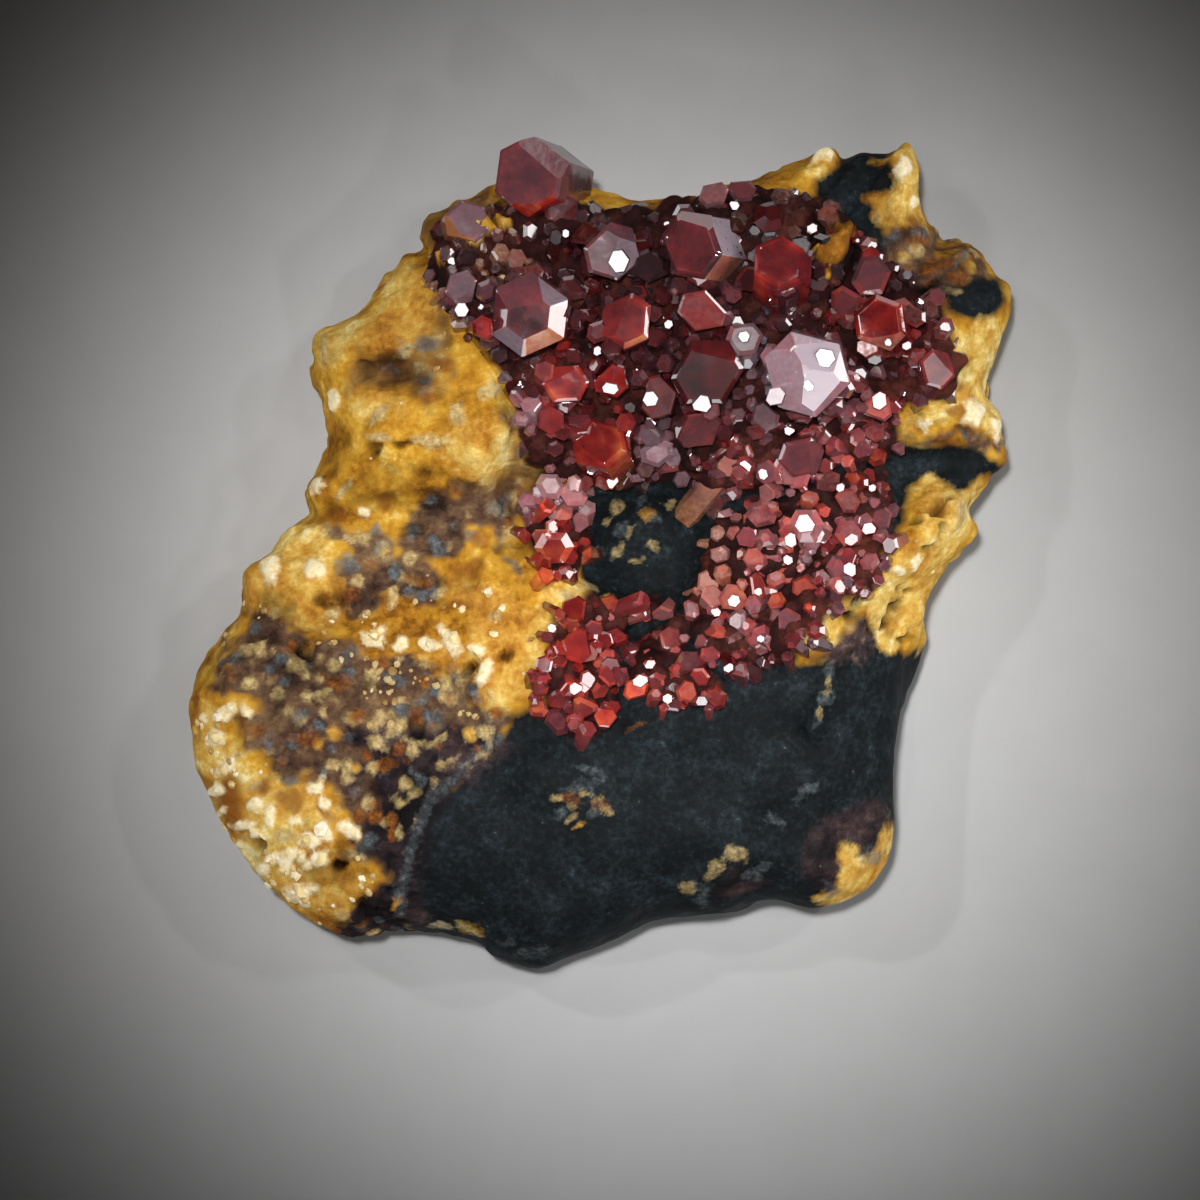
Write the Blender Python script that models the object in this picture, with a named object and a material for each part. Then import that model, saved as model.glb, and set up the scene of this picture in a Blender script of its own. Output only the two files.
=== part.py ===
"""Vanadinite on matrix: red six-sided crystals on a loose piece of dark, ochre-crusted rock.

The rock lies on its flat broken back with the crystals up. Sizes are in millimetres and are
turned to metres when a mesh is made. +X is to the right and +Y to the top of the crystal face,
+Z is up out of it, and the origin is the middle of the resting face.
"""

import math

import bmesh
import bpy
import numpy as np
from mathutils import Matrix, Vector
from mathutils.geometry import delaunay_2d_cdt

MM = 0.001

# The rock
FIT_GAP = 0.3  # clearance that each crystal keeps to the rock and to its neighbours
SHARPEST_SHELL = 2.0  # how much farther a corner moves than the faces that meet there, at most
RIM_HEIGHT = 5.6  # of the rock's widest line above the resting face
RIM_WANDER = 1.6
PLATEAU = 9.2  # of the crystal face above the resting face
SHOULDER = 9.0  # the larger, the sharper the turn from the face to the side
UNDERCUT = 0.06  # share by which the side draws in before the breaks below are cut
GRID = 30  # cells across the crystal face
SIDE_ROWS = 4

# Flat breaks round the lower side of the rock: the way that each faces in degrees (0 is +X),
# how far it faces down, and how deep it bites at the widest line.
BREAKS = [
    (4, 24, -0.3), (33, 38, 0.2), (58, 20, 0.0), (92, 33, -0.2), (118, 46, 0.3), (149, 26, 0.2),
    (172, 40, -0.4), (196, 18, 0.1), (218, 36, -0.1), (247, 24, -0.2), (270, 42, -0.5),
    (298, 30, 0.1), (322, 44, 0.3), (345, 34, -0.2),
]

# The widest line of the rock seen from above, anticlockwise from its lower right corner.
OUTLINE = [
    (14.1, -16.1), (14.8, -14.0), (14.8, -11.8), (15.0, -8.7), (15.35, -5.7), (16.1, -3.8),
    (16.45, -2.1), (17.4, -0.8), (18.95, 1.0), (18.7, 2.2), (19.7, 3.7), (20.4, 4.65),
    (20.1, 5.7), (20.2, 6.8), (19.3, 8.2), (19.9, 10.2), (20.65, 12.95), (19.9, 13.95),
    (18.9, 15.2), (18.25, 15.65), (17.05, 15.6), (16.3, 17.0), (16.05, 18.4), (16.2, 19.5),
    (15.5, 20.6), (14.7, 20.1), (13.2, 20.0), (12.15, 19.55), (11.5, 20.25), (9.85, 19.4),
    (8.1, 18.8), (5.8, 18.45), (4.85, 17.95), (2.5, 17.65), (0.0, 18.2), (-1.2, 18.7),
    (-2.6, 19.4), (-4.2, 19.35), (-5.3, 18.5), (-7.1, 17.55), (-8.5, 17.0), (-9.15, 15.9),
    (-8.95, 15.35), (-10.0, 15.0), (-10.7, 13.6), (-12.5, 11.9), (-14.1, 11.1), (-14.55, 10.4),
    (-14.2, 8.6), (-13.7, 6.3), (-13.8, 5.1), (-14.65, 3.3), (-14.45, 1.9), (-15.6, 1.1),
    (-16.65, -0.2), (-17.9, -1.0), (-17.9, -3.1), (-19.3, -4.9), (-20.2, -6.3), (-20.65, -8.0),
    (-20.2, -10.6), (-19.35, -12.85), (-17.85, -15.35), (-15.8, -17.6), (-13.6, -18.85),
    (-11.9, -19.05), (-9.45, -18.95),
    (-6.4, -19.65), (-5.4, -20.4), (-3.4, -21.0), (-1.8, -20.5), (0.6, -19.6), (2.8, -18.55),
    (6.2, -18.15), (8.5, -17.45), (10.75, -17.8), (12.8, -17.35),
]

# Lumps of the rock: height, width and the number that sets their pattern.
FACE_LUMPS = [(0.55, 6.0, 11), (0.4, 2.8, 12)]
SIDE_LUMPS = [(0.8, 5.0, 21), (0.6, 2.6, 22)]
RIM_LUMP_WIDTH = 7.0
RIM_PATTERN = 3

# Swells and hollows of the face: x, y, half length, half width, turn in degrees, height, and
# how steep the flanks are (1 is a soft mound, 3 a flat-topped step).
SWELLS = [
    (2.9, -13.2, 12.8, 8.2, 10, 2.3, 3.0),  # smooth dark boss along the lower edge
    (4.6, 12.0, 12.6, 6.2, 4, 2.0, 2.0),  # shelf under the largest crystals
    (10.5, 0.5, 4.0, 5.0, 20, 1.5, 1.5),  # bank under the right-hand crust
    (2.6, 0.2, 3.4, 3.0, 0, -2.6, 1.5),  # bare hollow in the middle
    (1.5, -4.4, 1.9, 1.1, 0, -1.6, 1.0),  # deep notch below it
    (-4.4, -3.4, 3.2, 3.6, 0, 2.1, 1.5),  # yellow bulge beside the hollow
    (-9.4, 7.4, 5.2, 6.4, -5, 1.0, 3.0),  # flat ochre plate
    (-5.7, 5.6, 1.6, 1.6, 0, 1.0, 1.0),  # its bright corner
    (-4.4, 4.6, 0.7, 3.2, 0, -1.4, 1.0),  # groove between the plate and the crystals
    (-10.0, 9.0, 4.4, 0.9, 4, -0.7, 1.0),  # brown trough across the plate
    (-8.4, 2.2, 5.2, 0.9, 14, -0.8, 1.0),  # brown trough below the plate
    (-14.6, -2.4, 3.0, 1.5, 0, 1.0, 1.0),  # knob at the left edge
    (-15.2, -4.3, 3.4, 0.7, -5, -0.9, 1.0),  # trough below the knob
    (-16.3, -11.2, 3.2, 5.6, 10, 0.7, 1.0),  # lower left swell
    (-14.6, -15.4, 3.0, 2.4, -30, 0.8, 1.0),  # lower left corner
    (17.4, 8.0, 2.4, 2.0, 0, 1.3, 1.0),  # ochre lump at the right edge
    (16.3, 4.4, 2.6, 1.5, 0, -1.3, 1.5),  # dark pocket below it
    (12.8, 17.9, 2.4, 1.7, -10, -1.2, 1.5),  # dark pocket at the upper right
    (13.9, 15.4, 0.9, 2.2, 40, -0.9, 1.0),  # groove that leads out of it
    (13.0, -14.9, 1.9, 2.3, 0, -0.6, 1.0),  # lower right corner
]

# Ridges of ochre: the points that each follows, its half width and its height.
RIDGES = [
    ([(10.2, -4.4), (11.8, -2.6), (14.6, -0.6), (17.9, 2.4)], 1.3, 1.9),
    ([(12.9, -3.8), (11.6, -5.8), (10.6, -8.7)], 0.55, 0.6),
    ([(15.6, 19.6), (16.0, 16.6), (18.6, 14.6), (20.0, 12.6)], 1.0, 1.0),
    ([(3.6, -17.0), (7.2, -15.2)], 0.5, 0.5),
]

# Large crystals that stand clear: the middle of the end face (x, y), how far the end face
# reaches past the foot (x, y), its height over the foot, the radius to an edge of the prism,
# the turn of the hexagon in degrees, and the width of the bevel as a share of the radius.
LARGE_CRYSTALS = {
    "crystal_top_edge": (-3.6, 18.85, -1.2, 0.3, 3.2, 2.1, 7, 0.12),
    "crystal_upper_left": (-6.6, 16.55, 0.3, 0.4, 2.2, 1.25, 20, 0.15),
    "crystal_left_small": (-6.9, 13.2, -0.1, 0.4, 2.0, 0.92, 0, 0.12),
    "crystal_left_rounded": (-3.6, 11.7, -0.3, -0.2, 3.4, 2.2, 20, 0.42),
    "crystal_upper_middle": (0.6, 14.9, -0.1, -0.2, 2.9, 1.6, 10, 0.14),
    "crystal_window": (4.5, 15.2, -1.3, 0.1, 3.2, 1.85, 25, 0.16),
    "crystal_red_block": (1.4, 11.5, 0.0, 0.3, 2.6, 1.5, 25, 0.2),
    "crystal_rose": (9.1, 14.4, 0.1, 1.4, 2.9, 1.65, 30, 0.12),
    "crystal_stepped": (10.15, 8.8, -0.3, -0.3, 3.6, 2.3, 30, 0.3),
    "crystal_framed": (13.9, 11.4, -0.8, 0.3, 2.6, 1.55, 30, 0.18),
    "crystal_right_pink": (16.8, 9.1, 0.5, 0.0, 1.9, 1.05, 15, 0.15),
    "crystal_deep_red": (5.3, 8.9, 0.0, -0.2, 2.6, 2.0, 0, 0.14),
    "crystal_ember": (-0.1, 5.5, -0.5, 0.8, 2.2, 1.55, 10, 0.18),
    "crystal_red_left": (-1.7, 8.4, 0.1, 0.2, 2.2, 1.2, 30, 0.15),
    "crystal_lath": (6.9, 4.9, 1.9, 2.3, 2.7, 0.78, 0, 0.15),
    "crystal_lower_right": (10.0, 4.7, 0.0, -0.4, 2.0, 1.2, 12, 0.15),
}

# Crusts of smaller crystals: the edge of each patch, how many small crystals are scattered on
# it, their smallest and largest radius, and the crystals whose place is set by hand, given as
# for the large ones.
CRUSTS = {
    "crust_crown": {
        "edge": [
            (17.6, 11.4), (16.6, 13.0), (14.6, 14.4), (12.6, 16.2), (11.0, 17.6), (7.6, 18.1),
            (4.6, 17.3), (0.5, 17.2), (-2.5, 17.4), (-5.6, 17.4), (-8.2, 15.8), (-8.6, 13.6),
            (-7.2, 11.4), (-5.2, 9.2), (-4.0, 7.4), (-3.6, 4.6), (-1.6, 3.6), (1.2, 3.4),
            (4.0, 3.8), (6.2, 3.2), (8.6, 2.9), (12.6, 4.4), (14.8, 5.2), (15.2, 7.2),
            (17.2, 7.8), (18.0, 9.6),
        ],
        "count": 27,
        "radii": (0.45, 0.95),
        "placed": [
            (-2.0, 17.0, 0.2, -0.4, 1.5, 1.05, 5, 0.15),
            (2.5, 14.3, 0.2, 0.3, 2.2, 1.2, 0, 0.12),
            (5.7, 17.9, 0.0, 0.7, 1.6, 0.9, 10, 0.15),
            (7.1, 18.1, 0.2, 0.6, 1.5, 0.85, 25, 0.15),
            (13.5, 13.7, 0.2, 0.5, 2.0, 1.3, 30, 0.12),
            (12.1, 12.5, -0.3, 0.0, 1.7, 0.95, 0, 0.12),
            (5.0, 11.9, 0.0, -0.6, 2.2, 1.4, 12, 0.15),
            (7.2, 10.6, 0.3, 0.1, 2.0, 1.05, 20, 0.15),
            (0.6, 8.4, -0.1, -0.3, 1.9, 1.1, 0, 0.15),
            (2.9, 7.7, 0.0, -0.3, 1.9, 1.2, 15, 0.15),
            (5.0, 6.0, 0.0, -0.6, 1.7, 1.3, 8, 0.15),
            (2.8, 4.9, 0.1, -0.4, 1.5, 0.95, 25, 0.15),
            (13.9, 7.2, 0.1, 0.0, 1.5, 0.85, 10, 0.15),
            (13.6, 5.9, 0.0, -0.2, 1.2, 0.65, 30, 0.15),
            (17.2, 11.1, 0.3, 0.1, 1.2, 0.65, 0, 0.15),
            (7.6, 13.4, 0.2, -0.3, 1.6, 0.8, 18, 0.15),
        ],
    },
    "crust_right": {
        "edge": [
            (14.4, 4.0), (14.7, 1.6), (13.9, -1.4), (11.6, -3.0), (9.4, -5.4), (7.0, -6.3),
            (4.8, -5.0), (4.4, -2.4), (5.4, -0.6), (6.4, 1.6), (8.4, 2.6), (12.2, 3.9),
        ],
        "count": 23,
        "radii": (0.4, 0.85),
        "placed": [
            (8.0, 1.8, -0.2, 0.1, 1.4, 0.8, 10, 0.15),
            (10.2, 1.3, 0.0, 0.1, 1.6, 0.95, 0, 0.15),
            (12.6, 1.0, 0.3, 0.1, 1.5, 0.85, 20, 0.15),
            (12.0, -1.0, 0.2, -0.2, 1.4, 0.9, 12, 0.15),
            (6.6, -2.3, -0.1, 0.0, 1.4, 0.85, 25, 0.15),
            (8.2, -4.4, 0.1, -0.4, 1.3, 0.75, 5, 0.15),
        ],
    },
    "crust_left_spur": {
        "edge": [
            (-0.8, 2.6), (-0.6, 0.6), (-1.4, -1.2), (-2.6, -1.4), (-3.6, 0.2), (-3.9, 2.4),
            (-3.0, 3.6), (-1.6, 3.2),
        ],
        "count": 7,
        "radii": (0.45, 0.8),
        "placed": [
            (-2.4, 3.3, 0.0, 0.2, 1.4, 0.85, 0, 0.15),
            (-2.3, 0.2, -0.1, -0.3, 1.5, 0.95, 18, 0.15),
        ],
    },
    "crust_lower_left": {
        "edge": [
            (3.2, -1.8), (3.3, -3.4), (1.2, -3.9), (0.4, -5.4), (0.9, -7.6), (-0.6, -9.4),
            (-1.6, -9.2), (-3.4, -7.4), (-3.0, -5.2), (-2.2, -3.0), (-0.8, -2.2), (1.6, -2.3),
        ],
        "count": 12,
        "radii": (0.4, 0.8),
        "placed": [
            (2.3, -2.4, 1.9, 0.6, 1.0, 0.6, 0, 0.15),
            (-1.2, -4.6, 0.2, 0.4, 1.7, 1.0, 10, 0.15),
            (-0.8, -7.9, 0.1, -0.5, 1.3, 0.8, 22, 0.15),
        ],
    },
    "crust_lower_middle": {
        "edge": [
            (4.4, -3.6), (4.6, -5.6), (6.4, -6.6), (5.4, -7.6), (3.6, -7.6), (1.4, -7.2),
            (1.3, -6.2), (2.2, -4.8), (3.0, -4.0),
        ],
        "count": 8,
        "radii": (0.4, 0.75),
        "placed": [
            (1.8, -6.8, -0.1, -0.1, 1.2, 0.75, 0, 0.15),
            (3.6, -4.3, 0.3, 0.4, 1.1, 0.75, 15, 0.15),
            (4.5, -5.5, 0.1, 0.0, 1.2, 0.85, 28, 0.15),
        ],
    },
}
CRUST_SKIN = 0.5  # thickness of the crust between its crystals
CRUST_EDGE = 0.12  # thickness where it runs out on the rock
CRUST_CELL = 2.0
CRUST_DEPTH = 2.0  # from its top down into the rock, before the rock cuts it off
CRUST_SEED = 7
SCATTER_TRIES = 4000
SCATTER_LEAN = 0.55  # of a thrown crystal's end face past its foot, at most, along X and Y
SCATTER_RISE = (1.1, 1.7)  # of its end face over its foot, in radii
CROWDING = 0.75  # how close two end faces may come, as a share of their radii together
SMALLEST_BEVELLED = 1.0  # radius above which a crystal's end face has a bevel round it
BEVEL_DEPTH = 0.7  # of a bevel down the prism, as a share of its width
ROOT = 1.1  # how far a crystal runs on below its foot, before the rock cuts it off

COLOURS = {
    "matrix": (0.09, 0.07, 0.05, 1.0),
    "crystal": (0.22, 0.02, 0.02, 1.0),
    "crust": (0.28, 0.05, 0.04, 1.0),
}
ROUGHNESS = {"matrix": 0.85, "crystal": 0.2, "crust": 0.3}


def lattice_value(ix, iy, iz, pattern):
    """A fixed number from -1 to 1 for each whole-number point: a scrambled whole number."""
    mixed = (ix * 374761393 + iy * 668265263 + iz * 1440662683 + pattern * 974634777) & 0xFFFFFFFF
    mixed = ((mixed ^ (mixed >> 13)) * 1274126177) & 0xFFFFFFFF
    return ((mixed ^ (mixed >> 16)) & 0xFFFF) / 32767.5 - 1.0


def lumps(x, y, z, height, width, pattern):
    """Smooth noise from -height to height, made of lumps about as wide as width."""
    cell = [np.floor(v / width).astype(np.int64) for v in (x, y, z)]
    part = [v / width - c for v, c in zip((x, y, z), cell)]
    fx, fy, fz = (t * t * t * (t * (6 * t - 15) + 10) for t in part)
    total = 0.0
    for corner in range(8):
        dx, dy, dz = corner & 1, corner >> 1 & 1, corner >> 2
        weight = (fx if dx else 1 - fx) * (fy if dy else 1 - fy) * (fz if dz else 1 - fz)
        total = total + weight * lattice_value(cell[0] + dx, cell[1] + dy, cell[2] + dz, pattern)
    return height * total


def smooth_loop(points, per_span=12):
    """A closed Catmull-Rom curve through the points, as an array of points along it."""
    p = np.array(points, float)
    before, after, beyond = np.roll(p, 1, 0), np.roll(p, -1, 0), np.roll(p, -2, 0)
    t = np.linspace(0, 1, per_span, endpoint=False)[None, :, None]
    curve = 0.5 * (
        2 * p[:, None]
        + (after - before)[:, None] * t
        + (2 * before - 5 * p + 4 * after - beyond)[:, None] * t**2
        + (3 * p - before - 3 * after + beyond)[:, None] * t**3
    )
    return curve.reshape(-1, 2)


WIDEST = smooth_loop(OUTLINE)


def outline_at(u):
    """The point of the widest line at each share u of the way round it."""
    loop = np.vstack([WIDEST, WIDEST[:1]])
    along = np.concatenate([[0], np.cumsum(np.hypot(*np.diff(loop, axis=0).T))])
    at = np.mod(u, 1.0) * along[-1]
    return np.interp(at, along, loop[:, 0]), np.interp(at, along, loop[:, 1])


def share_of_way_out(x, y):
    """How far (x, y) is from the middle, as a share of the widest line's distance there."""
    angle = np.arctan2(WIDEST[:, 1], WIDEST[:, 0])
    order = np.argsort(angle)
    reach = np.hypot(*WIDEST.T)[order]
    reach = np.interp(np.arctan2(y, x), angle[order], reach, period=2 * math.pi)
    return np.clip(np.hypot(x, y) / reach, 0, 1)


def rim_height(x, y):
    """The height of the widest line in the direction of (x, y)."""
    half_size = 12.0
    far = np.maximum(np.hypot(x, y), 1e-6) / half_size
    return RIM_HEIGHT + lumps(x / far, y / far, 0 * x, RIM_WANDER, RIM_LUMP_WIDTH, RIM_PATTERN)


def swell(x, y, at_x, at_y, half_length, half_width, turn, height, steepness):
    """A mound or a hollow that is half its height at half_length and half_width."""
    c, s = math.cos(math.radians(turn)), math.sin(math.radians(turn))
    dx, dy = x - at_x, y - at_y
    q = ((dx * c + dy * s) / half_length) ** 2 + ((dy * c - dx * s) / half_width) ** 2
    return height * np.exp(-math.log(2) * q**steepness)


def ridge(x, y, points, half_width, height):
    """A rounded ridge along a line of points."""
    nearest = np.full(np.shape(x), np.inf)
    for (ax, ay), (bx, by) in zip(points, points[1:]):
        span = (bx - ax) ** 2 + (by - ay) ** 2
        t = np.clip(((x - ax) * (bx - ax) + (y - ay) * (by - ay)) / span, 0, 1)
        nearest = np.minimum(nearest, np.hypot(x - ax - t * (bx - ax), y - ay - t * (by - ay)))
    return height * np.exp(-((nearest / half_width) ** 2))


def rock_top(x, y, share=None):
    """The height of the rock at (x, y): its face, turned over a rounded shoulder to the rim."""
    x, y = np.asarray(x, float), np.asarray(y, float)
    if share is None:
        share = share_of_way_out(x, y)
    face = PLATEAU + sum(swell(x, y, *s) for s in SWELLS) + sum(ridge(x, y, *r) for r in RIDGES)
    face = face + sum(lumps(x, y, 0 * x, *lump) for lump in FACE_LUMPS)
    rim = rim_height(x, y)
    return rim + (face - rim) * np.sqrt(1 - share**SHOULDER)


def shoulder_rings(rings):
    """The shares of the way out at which equal steps along the face and shoulder fall."""
    half_size = 19.0
    share = np.sin(np.linspace(0, math.pi / 2, 400))
    drop = (PLATEAU - RIM_HEIGHT) * np.sqrt(1 - share**SHOULDER)
    steps = np.hypot(np.diff(share) * half_size, np.diff(drop))
    along = np.concatenate([[0], np.cumsum(steps)])
    return np.interp(np.linspace(0, along[-1], rings + 1), along, share)


def face_points():
    """A square grid wrapped on to the face, so that its square rings run round the rock."""
    across = np.linspace(-1, 1, GRID + 1)
    a, b = np.meshgrid(across, across)
    ring = np.maximum(abs(a), abs(b))
    a, b = a / np.maximum(ring, 1e-9), b / np.maximum(ring, 1e-9)
    edge = 1 - 1e-9
    u = np.select([a > edge, b > edge, a < -edge], [b + 1, 3 - a, 5 - b], 7 + a) / 8
    share = shoulder_rings(GRID // 2)[np.rint(ring * GRID / 2).astype(int)]
    x, y = outline_at(u)
    x, y = x * share, y * share
    return np.stack([x, y, rock_top(x, y, share)], -1).reshape(-1, 3)


def broken(points):
    """Points of the side, moved sideways on to each of the flat breaks that they stand out of."""
    for facing, down, bite in BREAKS:
        level, down = math.radians(facing), math.radians(down)
        out = np.array([math.cos(level), math.sin(level), 0.0])
        reach = (WIDEST @ out[:2]).max() - bite - (RIM_HEIGHT - points[:, 2:]) * math.tan(down)
        points = points - np.maximum(points @ out[:, None] - reach, 0) * out
    return points


def side_points():
    """Rings from just below the widest line down to the edge of the resting face."""
    x, y = outline_at(np.arange(4 * GRID) / (4 * GRID))
    radius = np.hypot(x, y)
    rings = []
    for row in range(1, SIDE_ROWS + 1):
        t = row / SIDE_ROWS
        z = rim_height(x, y) * (1 - t)
        rough = sum(lumps(x, y, z, *lump) for lump in SIDE_LUMPS) * math.sin(0.5 + 2.4 * t)
        out = 1 - UNDERCUT * t**1.5 + rough / radius
        rings.append(broken(np.stack([x * out, y * out, z], -1)))
    return np.concatenate(rings)


def rock_faces():
    side = GRID + 1
    grid = np.arange(side * side).reshape(side, side)
    faces = np.stack([grid[:-1, :-1], grid[:-1, 1:], grid[1:, 1:], grid[1:, :-1]], -1)
    faces = faces.reshape(-1, 4).tolist()
    # The rim of the grid, anticlockwise from its lower right corner, is the first ring.
    rim = np.concatenate([grid[:-1, -1], grid[-1, :0:-1], grid[:0:-1, 0], grid[0, :-1]])
    rings = [rim] + [side * side + k * 4 * GRID + np.arange(4 * GRID) for k in range(SIDE_ROWS)]
    for upper, lower in zip(rings, rings[1:]):
        strip = np.stack([upper, lower, np.roll(lower, -1), np.roll(upper, -1)], -1)
        faces += strip.tolist()
    return faces + [rings[-1][::-1].tolist()]


def material(name):
    made = bpy.data.materials.get(name)
    if made is None:
        made = bpy.data.materials.new(name)
        made.use_nodes = True
        shader = made.node_tree.nodes["Principled BSDF"]
        shader.inputs["Base Color"].default_value = COLOURS[name]
        shader.inputs["Roughness"].default_value = ROUGHNESS[name]
        shader.inputs["Metallic"].default_value = 0.0
    return made


def add_object(name, mesh, material_name=None):
    """An object with this mesh. With no material it is a helper, such as a cutter."""
    made = bpy.data.objects.new(name, mesh)
    bpy.context.scene.collection.objects.link(made)
    if material_name:
        mesh.materials.append(material(material_name))
    else:
        made.hide_render = True
        made.display_type = "WIRE"
    return made


def mesh_of(name, points, faces):
    """A triangulated mesh that faces outward, from points in millimetres."""
    work = bmesh.new()
    corners = [work.verts.new(Vector(point) * MM) for point in points]
    for face in faces:
        work.faces.new([corners[k] for k in face])
    bmesh.ops.triangulate(work, faces=work.faces)
    bmesh.ops.recalc_face_normals(work, faces=work.faces)
    made = bpy.data.meshes.new(name)
    work.to_mesh(made)
    work.free()
    return made


def make_rock():
    points = np.concatenate([face_points(), side_points()])
    return add_object("matrix", mesh_of("matrix", points, rock_faces()), "matrix")


def prism_mesh(name, radius, length, bevel):
    """A six-sided prism along Z, its end face at the origin. A wide one has a bevelled end."""
    turn = np.radians(np.arange(6) * 60)
    ring = np.stack([np.cos(turn), np.sin(turn)], -1)
    levels = [(radius, -length), (radius, 0.0)]
    if radius > SMALLEST_BEVELLED:
        levels[1:] = [(radius, -radius * bevel * BEVEL_DEPTH), (radius * (1 - bevel), 0.0)]
    points = [np.column_stack([ring * r, np.full(6, z)]) for r, z in levels]
    top = 6 * len(levels)
    faces = [list(range(5, -1, -1)), list(range(top - 6, top))]
    for level in range(0, top - 6, 6):
        faces += [[level + k, level + (k + 1) % 6, level + 6 + (k + 1) % 6, level + 6 + k]
                  for k in range(6)]
    return mesh_of(name, np.concatenate(points), faces)


def crystal(name, place, grow=0.0, material_name=None):
    """A crystal at its place on the rock. grow makes it that much bigger all round."""
    x, y, reach_x, reach_y, rise, radius, spin, bevel = place
    axis = Vector((reach_x, reach_y, rise))
    length = axis.length + ROOT + radius / 2 + grow
    made = add_object(name, prism_mesh(name, radius + grow, length, bevel), material_name)
    top = Vector((x, y, float(rock_top(x - reach_x, y - reach_y)) + rise))
    top += axis.normalized() * grow
    turned = axis.to_track_quat("Z", "Y").to_matrix() @ Matrix.Rotation(math.radians(spin), 3, "Z")
    made.matrix_world = Matrix.Translation(top * MM) @ turned.to_4x4()
    return made


def boolean(target, operation, helper):
    """A live Boolean with a helper object or a collection of them."""
    change = target.modifiers.new(operation.lower() + " " + helper.name, "BOOLEAN")
    change.operation = operation
    change.solver = "MANIFOLD"  # the exact one leaves edges with three faces on these crusts
    if isinstance(helper, bpy.types.Collection):
        change.operand_type = "COLLECTION"
        change.collection = helper
    else:
        change.object = helper


def grown_copy(obj):
    """A helper that is FIT_GAP bigger all round than a mesh that has no modifiers yet."""
    work = bmesh.new()
    work.from_mesh(obj.data)
    work.normal_update()
    moves = [v.normal * min(v.calc_shell_factor(), SHARPEST_SHELL) for v in work.verts]
    for vertex, move in zip(work.verts, moves):
        vertex.co += move * FIT_GAP * MM
    mesh = bpy.data.meshes.new(obj.name + "_with_gap")
    work.to_mesh(mesh)
    work.free()
    return add_object(mesh.name, mesh)


def helper_collection(name, objects):
    made = bpy.data.collections.new(name)
    bpy.context.scene.collection.children.link(made)
    for obj in objects:
        bpy.context.scene.collection.objects.unlink(obj)
        made.objects.link(obj)
    return made


def inside(x, y, edge):
    """Whether each point lies inside: a line from it crosses the edge an odd number of times."""
    crossings = np.zeros(np.shape(x), int)
    for (ax, ay), (bx, by) in zip(edge, edge[1:] + edge[:1]):
        spans = (ay > y) != (by > y)
        rise = by - ay if by != ay else 1e-9
        crossings += spans & (x < ax + (y - ay) * (bx - ax) / rise)
    return crossings % 2 == 1


def far_enough(place, others):
    """Whether a small crystal's end face keeps clear of the ones already placed."""
    x, y, radius = place[0], place[1], place[5]
    return all(math.hypot(x - o[0], y - o[1]) > CROWDING * (radius + o[5]) for o in others)


def scattered(crust, taken, random):
    """Small crystals thrown over a crust, each leaning a little its own way."""
    lo, hi = np.min(crust["edge"], 0), np.max(crust["edge"], 0)
    thrown = []
    for _ in range(SCATTER_TRIES):
        x, y = random.uniform(lo, hi)
        radius = random.uniform(*crust["radii"])
        lean_x, lean_y = random.uniform(-SCATTER_LEAN, SCATTER_LEAN, 2)
        rise = radius * random.uniform(*SCATTER_RISE)
        place = (x, y, lean_x, lean_y, rise, radius, random.uniform(0, 60), 0.0)
        if inside(x, y, crust["edge"]) and far_enough(place, taken + thrown):
            thrown.append(place)
        if len(thrown) == crust["count"]:
            break
    return thrown


def crust_skin(name, edge):
    """The sheet that the small crystals of a crust grow from. It thins out to its edge."""
    loop = smooth_loop(edge, per_span=2)
    lo, hi = loop.min(0), loop.max(0)
    grid = np.meshgrid(*(np.arange(a, b, CRUST_CELL) + CRUST_CELL / 2 for a, b in zip(lo, hi)))
    cells = np.stack(grid, -1).reshape(-1, 2)
    from_edge = np.hypot(*(cells[:, None] - loop[None]).T).min(0)
    cells = cells[inside(*cells.T, edge) & (from_edge > 0.6 * CRUST_CELL)]
    flat = [Vector(point) for point in np.concatenate([loop, cells])]
    ring = [(k, (k + 1) % len(loop)) for k in range(len(loop))]
    flat, _, triangles, _, _, _ = delaunay_2d_cdt(flat, ring, [], 1, 1e-4)
    at, count = np.array(flat), len(flat)
    thick = np.where(np.arange(count) < len(loop), CRUST_EDGE, CRUST_SKIN)
    top = np.column_stack([at, rock_top(*at.T) + FIT_GAP + thick])
    bottom = top - [0, 0, CRUST_DEPTH]
    faces = [list(t) for t in triangles] + [[k + count for k in reversed(t)] for t in triangles]
    faces += [[a, a + count, b + count, b] for a, b in ring]
    return add_object(name, mesh_of(name, np.concatenate([top, bottom]), faces), "crust")


def keep_largest_piece(obj):
    """Applies the modifiers, and drops crumbs that the cuts have parted from the crust."""
    evaluated = obj.evaluated_get(bpy.context.evaluated_depsgraph_get())
    work = bmesh.new()
    work.from_mesh(evaluated.to_mesh())
    evaluated.to_mesh_clear()
    left, pieces = set(work.verts), []
    while left:
        front = [left.pop()]
        piece = list(front)
        while front:
            vertex = front.pop()
            near = {edge.other_vert(vertex) for edge in vertex.link_edges} & left
            left -= near
            front += near
            piece += near
        pieces.append(piece)
    pieces.sort(key=len)
    for piece in pieces[:-1]:
        bmesh.ops.delete(work, geom=piece, context="VERTS")
    obj.modifiers.clear()
    work.to_mesh(obj.data)
    work.free()


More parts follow.
